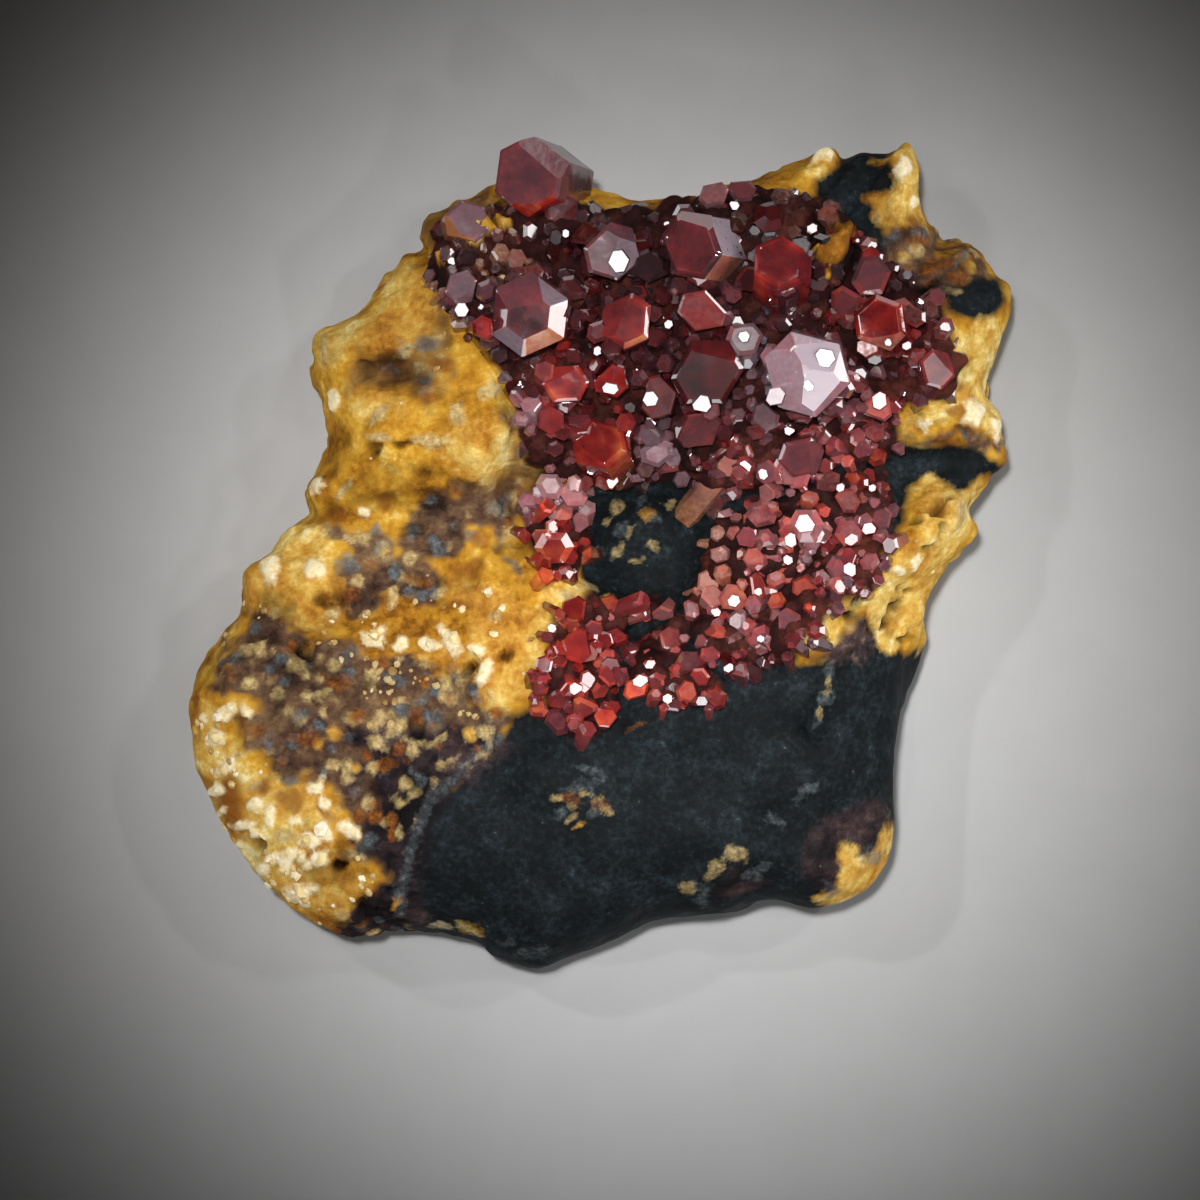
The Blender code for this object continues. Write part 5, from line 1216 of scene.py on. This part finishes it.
crustLook = {
    "seed": 7,  # the same throw as the solids'
    "tries": 4000, "lean": 0.55, "rise": (1.1, 1.7), "crowding": 0.75,
    "root": 1.5,  # as a share of the radius
    "fillerSeed": 21,
    # spacing of the smallest crystals, which the solids leave out
    "fillerStep": {"crown": 0.74, "right": 0.62, "left_spur": 0.62, "lower_left": 0.62,
                   "lower_middle": 0.62},
    "fillerRadii": (0.2, 0.62),
    "fillerRise": (0.7, 2.2),
    "fillerLean": 0.4, "fillerLeanMost": 0.6,  # as shares of the rise
    "fillerCrowding": 0.5,
    "fillerEdge": 0.96,  # no filler beyond this share of the way out
    "fillerReach": 0.2,  # mm past the crust's own edge
    "satellites": (0, 3),  # beside each of the thrown and placed crystals, fewer than the last
    "largeSatellites": (3, 7),
    "satelliteSizes": (0.35, 0.75), "widestSatellite": 0.7,
    "satelliteHeights": (0.62, 1.0), "lowerFrom": 0.9, "lowerBy": 0.9,  # beside wide crystals
    "satelliteReach": (0.7, 1.1), "satelliteLean": 0.12, "satelliteEdge": 0.88,
    "glintRise": (1.5, 1.1), "glintClear": 0.15,
    "tooNear": 1.4, "tooNearBox": 5.5,  # degrees from mirroring a lamp or the small soft box
    "tiltAway": (0.17, 0.1), "tiltAwayFrom": 0.35,  # of the crystals wider than this
    "sideShares": (0.7, 1.1),
    "bevel": (0.08, 0.5), "bevelSteepness": (0.5, 1.4), "glintBevel": 0.3,
    "capTilt": 0.14,
    "facetContrast": 0.4,
    # the last spread, and the facets' share below, are of the painted sheen, the mauve-grey veil
    "hueSpread": 0.14, "dustSpread": (0, 2), "shadeSpread": (0.7, 1.35), "paintedSheenSpread": (0, 2.2),
    "buried": 0.45, "buriedFrom": (0.6, 2.0),  # painted shade of the lowest crystals, their rise
    "rootShade": 0.15, "rootDust": 0.1,
    "facetPaintedSheen": (-0.15, 0.3),
}
crusts = {  # count and radii of the thrown crystals, then those placed one by one
    "crown": (27, (0.45, 0.95), [
        (-2.0, 17.0, 0.2, -0.4, 1.5, 1.05, 5, 0.15), (2.5, 14.3, 0.2, 0.3, 2.2, 1.2, 0, 0.12),
        (5.7, 17.9, 0.0, 0.7, 1.6, 0.9, 10, 0.15), (7.1, 18.1, 0.2, 0.6, 1.5, 0.85, 25, 0.15),
        (13.5, 13.7, 0.2, 0.5, 2.0, 1.3, 30, 0.12), (12.1, 12.5, -0.3, 0.0, 1.7, 0.95, 0, 0.12),
        (5.0, 11.9, 0.0, -0.6, 2.2, 1.4, 12, 0.15), (7.2, 10.6, 0.3, 0.1, 2.0, 1.05, 20, 0.15),
        (0.6, 8.4, -0.1, -0.3, 1.9, 1.1, 0, 0.15), (2.9, 7.7, 0.0, -0.3, 1.9, 1.2, 15, 0.15),
        (5.0, 6.0, 0.0, -0.6, 1.7, 1.3, 8, 0.15), (2.8, 4.9, 0.1, -0.4, 1.5, 0.95, 25, 0.15),
        (13.9, 7.2, 0.1, 0.0, 1.5, 0.85, 10, 0.15), (13.6, 5.9, 0.0, -0.2, 1.2, 0.65, 30, 0.15),
        (17.2, 11.1, 0.3, 0.1, 1.2, 0.65, 0, 0.15), (7.6, 13.4, 0.2, -0.3, 1.6, 0.8, 18, 0.15),
    ]),
    "right": (23, (0.4, 0.85), [
        (8.0, 1.8, -0.2, 0.1, 1.4, 0.8, 10, 0.15), (10.2, 1.3, 0.0, 0.1, 1.6, 0.95, 0, 0.15),
        (12.6, 1.0, 0.3, 0.1, 1.5, 0.85, 20, 0.15), (12.0, -1.0, 0.2, -0.2, 1.4, 0.9, 12, 0.15),
        (6.6, -2.3, -0.1, 0.0, 1.4, 0.85, 25, 0.15), (8.2, -4.4, 0.1, -0.4, 1.3, 0.75, 5, 0.15),
    ]),
    "left_spur": (7, (0.45, 0.8), [
        (-2.4, 3.3, 0.0, 0.2, 1.4, 0.85, 0, 0.15), (-2.3, 0.2, -0.1, -0.3, 1.5, 0.95, 18, 0.15),
    ]),
    "lower_left": (12, (0.4, 0.8), [
        (2.3, -2.4, 1.9, 0.6, 1.0, 0.6, 0, 0.15), (-1.2, -4.6, 0.2, 0.4, 1.7, 1.0, 10, 0.15),
        (-0.8, -7.9, 0.1, -0.5, 1.3, 0.8, 22, 0.15),
    ]),
    "lower_middle": (8, (0.4, 0.75), [
        (1.8, -6.8, -0.1, -0.1, 1.2, 0.75, 0, 0.15), (3.6, -4.3, 0.3, 0.4, 1.1, 0.75, 15, 0.15),
        (4.5, -5.5, 0.1, 0.0, 1.2, 0.85, 28, 0.15),
    ]),
}
# Where small crystals change colour, shade partly their own tone and partly painted shade in
# the gaps: x, y, reach, hue, dust, shade, veil
blooms = [
    (-8.0, 13.4, 1.6, 0.4, 0.3, 0.6, 0.12), (-5.0, 15.0, 1.3, 0.6, 0.4, 0.48, 0.1),
    (-1.8, 17.0, 1.2, 0.6, 0.05, 0.84, 0.1), (1.0, 17.4, 2.0, 0.35, 0.1, 0.42, 0.05),
    (5.6, 18.2, 1.0, 0.75, 0.1, 0.9, 0.2), (7.0, 18.0, 1.0, 0.5, 0.05, 0.72, 0.1),
    (9.3, 16.6, 2.4, 0.35, 0.15, 0.43, 0.1), (11.6, 16.6, 0.8, 0.9, 0.15, 0.96, 0.0),
    (12.4, 15.8, 0.7, 0.9, 0.1, 1.02, 0.0), (13.5, 13.7, 1.2, 0.4, 0.0, 0.85, 0.12),
    (12.1, 12.5, 0.9, 0.4, 0.0, 0.85, 0.12), (13.5, 11.6, 1.3, 0.8, 0.2, 1.0, 0.08),
    (16.2, 10.6, 1.5, 0.62, 0.1, 1, 0.2), (16.2, 8.7, 1.2, 0.5, 0.0, 0.94, 0.25),
    (2.9, 8.6, 3.0, 0.42, 0.0, 0.56, 0.04), (5.0, 11.9, 1.3, 0.7, 0.08, 0.94, 0.15),
    (8.0, 8.6, 1.4, 0.45, 0.0, 0.81, 0.5), (-1.7, 8.4, 1.8, 0.66, 0.0, 1.06, 0.05),
    (-3.8, 7.8, 1.2, 0.62, 0.15, 1, 0.4), (0.2, 5.2, 1.8, 0.68, 0.05, 1.01, 0.05),
    (2.7, 4.9, 1.1, 0.5, 0.1, 1.01, 0.45), (6.5, 5.8, 2.0, 0.55, 0.0, 0.88, 0.08),
    (-2.2, 2.7, 1.25, 0.78, 0.25, 1.9, 0.75), (-2.2, 0.0, 1.5, 0.78, 0.0, 1.6, 0.0),
    (-1.0, -5.2, 3.4, 0.74, 0.02, 1.5, 0.05), (1.8, -2.8, 1.4, 0.68, 0.1, 1.49, 0.35),
    (4.9, -0.6, 2.2, 0.9, 0.55, 1.95, 0.42), (9.5, 1.5, 3.0, 0.72, 0.16, 1.85, 0.27),
    (12.6, 0.8, 2.0, 0.68, 0.08, 1.75, 0.22), (8.0, -2.2, 2.4, 0.7, 0.12, 1.75, 0.2),
    (12.6, 3.6, 2.0, 0.72, 0.05, 1.55, 0.1), (3.4, -5.4, 2.2, 0.72, 0.08, 1.62, 0.12),
    (13.6, 6.8, 1.4, 0.68, 0.0, 1.25, 0.2), (-6.6, 10.7, 0.8, 0.5, 0.3, 1.2, 0.2),
]
bloomless, bloomlessWeight = (0.46, 0.04, 0.34, 0.05), 0.2  # away from these: dark, painted shade
# Small crystals whose end faces mirror the small soft box: x, y, radius
glints = [
    (0.9, 14.4, 0.7), (2.5, 7.6, 0.45), (5.1, 7.3, 0.6), (8.7, 7.7, 0.58), (0.5, 8.1, 0.42),
    (13.9, 7.5, 0.56), (10.2, 1.4, 0.6), (13.4, 1.2, 0.4), (12.5, 0.6, 0.38),
    (6.7, -2.4, 0.42), (5.8, -3.0, 0.28), (-2.5, 3.6, 0.5), (0.6, 3.5, 0.4),
    (-6.9, 12.0, 0.42), (2.5, -5.6, 0.33), (6.4, -5.8, 0.3), (-1.2, -6.8, 0.38),
    (3.3, -7.3, 0.3), (9.5, 0.6, 0.4), (12.4, -0.9, 0.4), (8.1, 3.9, 0.3), (7.1, 10.7, 0.36),
    (-1.7, 15.9, 0.26), (-0.1, 10.0, 0.28), (3.4, 11.3, 0.28), (17.2, 11.2, 0.34),
    (15.2, 10.2, 0.28), (11.2, 9.6, 0.6), (10.3, 8.2, 0.36), (9.4, 6.0, 0.3),
    (14.3, 10.4, 0.24), (6.7, 17.3, 0.28), (10.6, 16.1, 0.32), (-2.4, -3.8, 0.26),
    (9.4, -0.4, 0.28), (7.9, -2.0, 0.28), (2.0, -6.4, 0.42), (-7.4, 14.5, 0.22),
    (12.0, 3.2, 0.26), (8.0, -4.3, 0.24), (13.6, 3.2, 0.24),
]


def bloomAt(x, y):
    # an average of the blooms, each weighing more the nearer it is
    bloom, rest = np.array(blooms), bloomlessWeight
    away = (x[:, None] - bloom[:, 0]) ** 2 + (y[:, None] - bloom[:, 1]) ** 2
    weight = np.exp(-away / bloom[:, 2] ** 2)
    return (weight @ bloom[:, 3:] + rest * np.array(bloomless)) / (weight.sum(1)[:, None] + rest)


def farEnough(place, others, crowding):
    # no nearer to any other than this share of the two radii
    x, y, radius = place[0], place[1], place[5]
    return all(math.hypot(x - o[0], y - o[1]) > crowding * (radius + o[5]) for o in others)


def thrownCrystals(name, count, radii, taken, random):
    # thrown anywhere inside the edge and kept where there is room, the same draws as the solids'
    edge = crustEdges[name]
    lo, hi = np.min(edge, 0), np.max(edge, 0)
    thrown = []
    for _ in range(crustLook["tries"]):
        x, y = random.uniform(lo, hi)
        radius = random.uniform(*radii)
        leanX, leanY = random.uniform(-crustLook["lean"], crustLook["lean"], 2)
        rise = radius * random.uniform(*crustLook["rise"])
        place = (x, y, leanX, leanY, rise, radius, random.uniform(0, 60), 0.0)
        if isInside(x, y, edge) and farEnough(place, taken + thrown, crustLook["crowding"]):
            thrown.append(place)
        if len(thrown) == count:
            break
    return thrown


def fillerCrystals(name, taken, random):
    # the smallest crystals, one tried near each point of a grid
    look, edge, step, fillers = crustLook, crustEdges[name], crustLook["fillerStep"][name], []
    lo, hi = np.min(edge, 0), np.max(edge, 0)
    for gx in np.arange(lo[0], hi[0], step):
        for gy in np.arange(lo[1], hi[1], step):
            x, y = gx + random.uniform(-0.4, 0.4) * step, gy + random.uniform(-0.4, 0.4) * step
            radius = random.uniform(*look["fillerRadii"])
            rise = radius * random.uniform(*look["fillerRise"]) + rockLook["bedRise"]
            # upright near the rock's rim, so that no root comes out of its side
            inside = np.clip((look["fillerEdge"] - shareOfWayOut(x, y)) / 0.1, 0, 1)
            most = look["fillerLeanMost"] * rise
            lean = np.clip(random.normal(0, look["fillerLean"] * rise, 2), -most, most) * inside
            inX, inY = [x, y] + unit((lo + hi) / 2 - [x, y]) * look["fillerReach"]
            place = (x, y, *lean, rise, radius, random.uniform(0, 60), 0.0)
            if (isInside(inX, inY, edge) and inside > 0
                    and farEnough(place, taken, look["fillerCrowding"])):
                fillers.append(place)
    return fillers


def satellites(places, edge, count, random):
    # smaller crystals grown nearly parallel to a larger one and against its side
    look, beside = crustLook, []
    for x, y, leanX, leanY, rise, radius, spin, _ in places:
        for _ in range(random.randint(*count)):
            turn = random.uniform(0, 2 * math.pi)
            smaller = random.uniform(*look["satelliteSizes"])
            low = random.uniform(*look["satelliteHeights"])
            low *= look["lowerBy"] if radius >= look["lowerFrom"] else 1
            away = radius * random.uniform(*look["satelliteReach"])
            atX, atY = x + away * math.cos(turn), y + away * math.sin(turn)
            if isInside(atX, atY, edge) and shareOfWayOut(atX, atY) < look["satelliteEdge"]:
                aside = random.normal(0, look["satelliteLean"] * rise, 2)
                beside.append((atX, atY, leanX * low + aside[0], leanY * low + aside[1],
                               rise * low, min(radius * smaller, look["widestSatellite"]),
                               spin, 0.0))
    return beside


def glintCrystals(name):
    # each leans half way between the camera and the small soft box, to mirror one in the
    # other, and stands clear of the larger crystals around it; its bevel, -1, marks it
    look, places = crustLook, []
    for x, y, radius in glints:
        if isInside(x, y, crustEdges[name]):
            ground = float(rockTop(x, y))
            rise = look["glintRise"][0] * radius + look["glintRise"][1]
            for place in largePlaces + crusts[name][2]:
                if math.hypot(x - place[0], y - place[1]) < place[5] + radius:
                    top, turned, _ = crystalMatrix(place)
                    lift = (turned[:2, 2] @ (top[:2] - [x, y])) / turned[2, 2]
                    rise = max(rise, top[2] + lift + look["glintClear"] - ground)
            at = np.array([x, y, ground + rise]) * mm
            half = unit(smallBox - at) + unit(eyeAt - at)
            lean = half[:2] / half[2] * rise
            places.append((x, y, *lean, rise, radius, 40 * x % 60, -1.0))
    return places


def brightWays(tops):
    # for each lamp, the way that an end face at each top looks when it mirrors the lamp into
    # the camera: half way between the two. And how near to that is too near
    lamps = [((x, y, z), crustLook["tooNear"] + math.degrees(size / z) / 2)
             for x, y, z, _, size in stageLook["spots"]]
    lamps.append((smallBox, crustLook["tooNearBox"]))
    toEye = unit(eyeAt - tops * mm)
    return [(unit(unit(at - tops * mm) + toEye), near) for at, near in lamps]


def druseMesh(places, random):
    # every crystal is a six-sided ring at four heights and a pole at each end, its sides at
    # their own distances from the axis, with a sloping facet over each side and a tilted cap
    look, place, n = crustLook, np.array(places), len(places)
    frames = [crystalMatrix(p) for p in places]
    tops, turns = np.array([f[0] for f in frames]), np.array([f[1] for f in frames])
    x, y, rise, radius, mirror = *place[:, :2].T, place[:, 4], place[:, 5], place[:, 7] < 0
    length = np.array([f[2] for f in frames]) + look["root"] * radius.clip(0.3, 1)
    length = np.minimum(length, (tops[:, 2] - crystalLook["floorGap"]) / turns[:, 2, 2])
    corners = hexagonCorners(radius, random.uniform(*look["sideShares"], (n, 6)))
    bevel = random.uniform(*look["bevel"], n) * np.where(mirror, look["glintBevel"], 1)
    drop = bevel * radius * random.uniform(*look["bevelSteepness"], n)
    # rings at the root, under the facets, over them and a little further in on the cap
    shares = np.stack([0.6 + 0 * bevel, 1 + 0 * bevel, 1 - bevel, 0.85 - bevel], -1)
    heights = np.stack([-length, -drop, 0 * drop, 0 * drop], -1)
    flat = corners[:, None] * shares[:, :, None, None]
    tilt = random.uniform(-1, 1, (n, 2)) * look["capTilt"] * ~mirror[:, None]
    # wider ones that would mirror a light by chance are tilted away from it, twice if need be
    for way, near in brightWays(tops) * 2:
        up = unit(np.einsum("nij,nj->ni", turns, np.column_stack([-tilt, np.ones(n)])))
        bright = (up * way).sum(1) > math.cos(math.radians(near))
        tilt[bright & ~mirror & (radius > look["tiltAwayFrom"])] += look["tiltAway"]
    slope = np.einsum("nlkc,nc->nlk", flat, tilt) * (np.arange(4) > 0)[:, None]
    local = np.concatenate([flat, (heights[:, :, None] + slope)[..., None]], -1)
    poles = np.zeros((n, 2, 3))
    poles[:, 0, 2] = -length - 0.1
    local = np.concatenate([local.reshape(n, -1, 3), poles], 1)
    size, root = local.shape[1], [*range(6), local.shape[1] - 2]  # points: of one, and its root's
    points = np.einsum("nij,nvj->nvi", turns, local) + tops[:, None]

    tint = bloomAt(x, y)
    patchPaintedSheen = tint[:, 3:].copy()
    tint[:, 0] += random.uniform(-look["hueSpread"], look["hueSpread"], n)
    for k, spread in ((1, "dustSpread"), (2, "shadeSpread"), (3, "paintedSheenSpread")):
        tint[:, k] *= random.uniform(*look[spread], n)
    lowest, highest = look["buriedFrom"]
    height = np.clip((rise - lowest) / (highest - lowest), 0, 1)
    tint[:, 2] *= look["buried"] + (1 - look["buried"]) * height
    tint = np.repeat(tint[:, None], size, 1)
    tint[:, :6, 1] += look["rootDust"]
    tint[:, root, 2] *= look["rootShade"]
    quads, fans = shellFaces(4, 6)
    sides = len(quads) + len(fans)
    cap = [*range(12, 18), *range(24, 30)]  # the faces that make up the flat end
    tone = 1 + random.uniform(-1, 1, (n, sides)) * look["facetContrast"]
    tone[:, cap] = tone[:, 12:13]
    # painted sheen on some of the lighter facets
    paintedSheenVeil = random.uniform(*look["facetPaintedSheen"], (n, sides)) * (tone > 1) * (0.15 + 2 * patchPaintedSheen)
    facet = np.stack([tone, 0.15 * (tone - 1), np.clip(paintedSheenVeil, 0, 1), 0 * tone], -1)
    faces = repeatedFaces(quads, fans, size, n)
    tint, facet = np.clip(tint, 0, 2).reshape(-1, 4), facet.reshape(-1, 4)
    return points.reshape(-1, 3), faces, tint, facet


def makeCrusts():
    # each patch: placed, thrown, filler and glint crystals and satellites, joined in one mesh
    random = np.random.RandomState(crustLook["seed"])
    fillerRandom = np.random.RandomState(crustLook["fillerSeed"])
    taken = largePlaces + [place for crust in crusts.values() for place in crust[2]]
    for name, (count, radii, placed) in crusts.items():
        edge = crustEdges[name]
        thrown = thrownCrystals(name, count, radii, taken, random)
        taken += thrown
        fillers = fillerCrystals(name, taken, fillerRandom)
        large = [place for place in largePlaces if isInside(*place[:2], edge)]
        beside = satellites(placed + thrown, edge, crustLook["satellites"], fillerRandom)
        beside += satellites(large, edge, crustLook["largeSatellites"], fillerRandom)
        places = placed + thrown + beside + glintCrystals(name) + fillers
        points, faces, tint, facet = druseMesh(places, fillerRandom)
        piece = makePiece("druse_" + name, points, faces, vanadinite, {"tint": tint})
        addColours(piece.data, {"facet": facet}, "FACE")
        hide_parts("crust_" + name)
        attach(piece, "root")
        print("druse", name, ":", len(places), "crystals")


makeCrusts()


# loose-looking grains that are cemented to the rock

grainLook = {
    "seed": 5,
    "creamCount": 60, "creamRadii": (0.08, 0.26),
    "khakiCount": 80, "khakiRadii": (0.07, 0.22),
    "creamPale": 0.9, "khakiPale": (0, 0.4),
    "rows": 5, "around": 8,  # of each ball
    "bumpiness": 0.25, "stretch": (0.7, 1.3), "flatness": 0.75,
    "sink": 0.4,
    "rimWidth": 2.0,  # how far the cream grains spread from the pale rim
    "clumps": (1.0, 2.2, 61), "clumpFrom": (0.0, 0.7),
    "lowerFrom": (0.5, -4.0),  # most grains lie below this
}
placedGrains = [  # x, y, radius
    (-18.4, -7.8, 0.3), (-19.3, -9.3, 0.35), (-14.8, -14.4, 0.35), (-14.0, -13.9, 0.35),
    (-14.0, -15.4, 0.32), (-15.0, -17.0, 0.4), (-8.4, -4.6, 0.28), (-7.2, -4.3, 0.3),
    (-11.2, -4.2, 0.32), (-4.9, 13.9, 0.3),
]


def nearestOnRock(places):
    # the point of the rock's top right under each place
    topSide = np.flatnonzero(rockNormals[:, 2] > 0.05)
    flat = rockPoints[topSide, :2]
    return np.array([topSide[np.argmin(((flat - place) ** 2).sum(1))] for place in places])


def grainMesh(at, radii, pale, random):
    # a ball of a few rings, each point moved in or out, flattened on to the rock
    look, rows, around = grainLook, grainLook["rows"], grainLook["around"]
    theta = np.pi * (np.arange(rows) + 0.5) / rows
    phi = 2 * np.pi * np.arange(around) / around
    ball = np.stack([np.sin(theta)[:, None] * np.cos(phi), np.sin(theta)[:, None] * np.sin(phi),
                     -np.cos(theta)[:, None] + 0 * phi], -1).reshape(-1, 3)
    ball = np.vstack([ball, [0, 0, -1], [0, 0, 1]])
    n, size = len(at), len(ball)
    bumpy = 1 + random.uniform(-look["bumpiness"], look["bumpiness"], (n, size, 1))
    stretch = random.uniform(*look["stretch"], (n, 1, 3)) * [1, 1, look["flatness"]]
    shapes = ball[None] * bumpy * stretch * radii[:, None, None]
    turn = random.uniform(0, 2 * np.pi, n)
    up = rockNormals[at]
    side = unit(np.cross(up, np.stack([np.cos(turn), np.sin(turn), 0.3 + 0 * turn], -1)))
    frames = np.stack([side, np.cross(up, side), up], -1)
    centre = rockPoints[at] + up * (radii * (look["flatness"] - 2 * look["sink"]))[:, None]
    points = np.einsum("nij,nvj->nvi", frames, shapes) + centre[:, None]
    tint = np.stack([pale, random.uniform(0, 1, n), 0 * pale, 0 * pale + 1], -1)
    faces = repeatedFaces(*shellFaces(rows, around), size, n)
    return points.reshape(-1, 3), faces, np.repeat(tint, size, 0)


def grainMaterial():
    # grains of calcite and quartz cemented by limonite, broken by weather.
    # To the eye: cream to khaki, slightly see-through at the edges, waxy rather than glassy
    material, tree, shader = newMaterial("calciteGrainWeathered", IOR=1.56, Roughness=0.5)
    place = addNode(tree, "TexCoord").outputs["Object"]
    tint = addNode(tree, "Attribute", attribute_name="tint")
    part = addNode(tree, "SeparateColor", {"Color": tint})
    stain = addNode(tree, "TexNoise", {"Vector": place, "Scale": perMm(0.35), "Detail": 3.0})
    vary = addNode(tree, "Math", {0: stain, 1: 0.6, 2: part.outputs[1]}, operation="MULTIPLY_ADD")
    vary = addNode(tree, "MapRange", {"Value": vary, "From Max": 1.5})
    cream = addNode(tree, "ValToRGB", {"Fac": vary}, stops=[
        (0.0, "#c39a4c"), (1.0, "#fbf3de"), (0.45, "#e6cf94")])
    khaki = addNode(tree, "ValToRGB", {"Fac": vary}, stops=[
        (0.0, "#6b4a24"), (1.0, "#cdb47e"), (0.5, "#a8823c")])
    colour = addNode(tree, "Mix", {0: part.outputs[0], 6: khaki, 7: cream}, data_type="RGBA")
    tree.links.new(colour.outputs[2], shader.inputs["Base Color"])
    bump = addNode(tree, "Bump", {"Strength": 0.5, "Distance": 0.06 * mm, "Height": stain})
    tree.links.new(bump.outputs[0], shader.inputs["Normal"])
    return material


def makeGrains():
    # grains at points of the rock drawn by odds: cream ones along its pale rim, khaki ones on
    # the brown ground, in clumps and mostly low down, never on the dark rock or the crystals
    random = np.random.RandomState(grainLook["seed"])
    look, shares, (x, y, z) = grainLook, rockShares, rockPoints.T
    top = (rockNormals[:, 2] > 0.1) & (shares["bed"] < 0.3) & (shares["maroon"] < 0.4)
    rim = smoothStep(-look["rimWidth"], look["rimWidth"], zoneDepth(x, y, [paleRim]))
    rim = rim + 0.1 * shares["yellow"]
    clump = smoothStep(*look["clumpFrom"], lumps(x, y, z, *look["clumps"]))
    lower, bare = smoothStep(*look["lowerFrom"], y), 1 - shares["dark"]
    creamOdds = top * rim * clump * bare * (0.05 + lower)
    khakiOdds = top * bare * (0.1 + shares["brown"]) * (0.06 + lower) * clump
    placed = nearestOnRock(np.array(placedGrains)[:, :2])
    cream = random.choice(len(x), look["creamCount"], p=creamOdds / creamOdds.sum())
    khaki = random.choice(len(x), look["khakiCount"], p=khakiOdds / khakiOdds.sum())
    at = np.concatenate([placed, cream, khaki])
    radii = np.concatenate([np.array(placedGrains)[:, 2],
                            random.uniform(*look["creamRadii"], len(cream)),
                            random.uniform(*look["khakiRadii"], len(khaki))])
    pale = np.concatenate([np.ones(len(placed)), np.full(len(cream), look["creamPale"]),
                           random.uniform(*look["khakiPale"], len(khaki))])
    points, faces, tint = grainMesh(at, radii, pale, random)
    piece = makePiece("cemented_grains", points, faces, grainMaterial(), {"tint": tint},
                      sharpAngle=35)
    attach(piece, "root")
    print("grains:", len(at))


makeGrains()


makeStage()
makeLights()
makeCamera()
bpy.context.scene.view_settings.view_transform = "Standard"
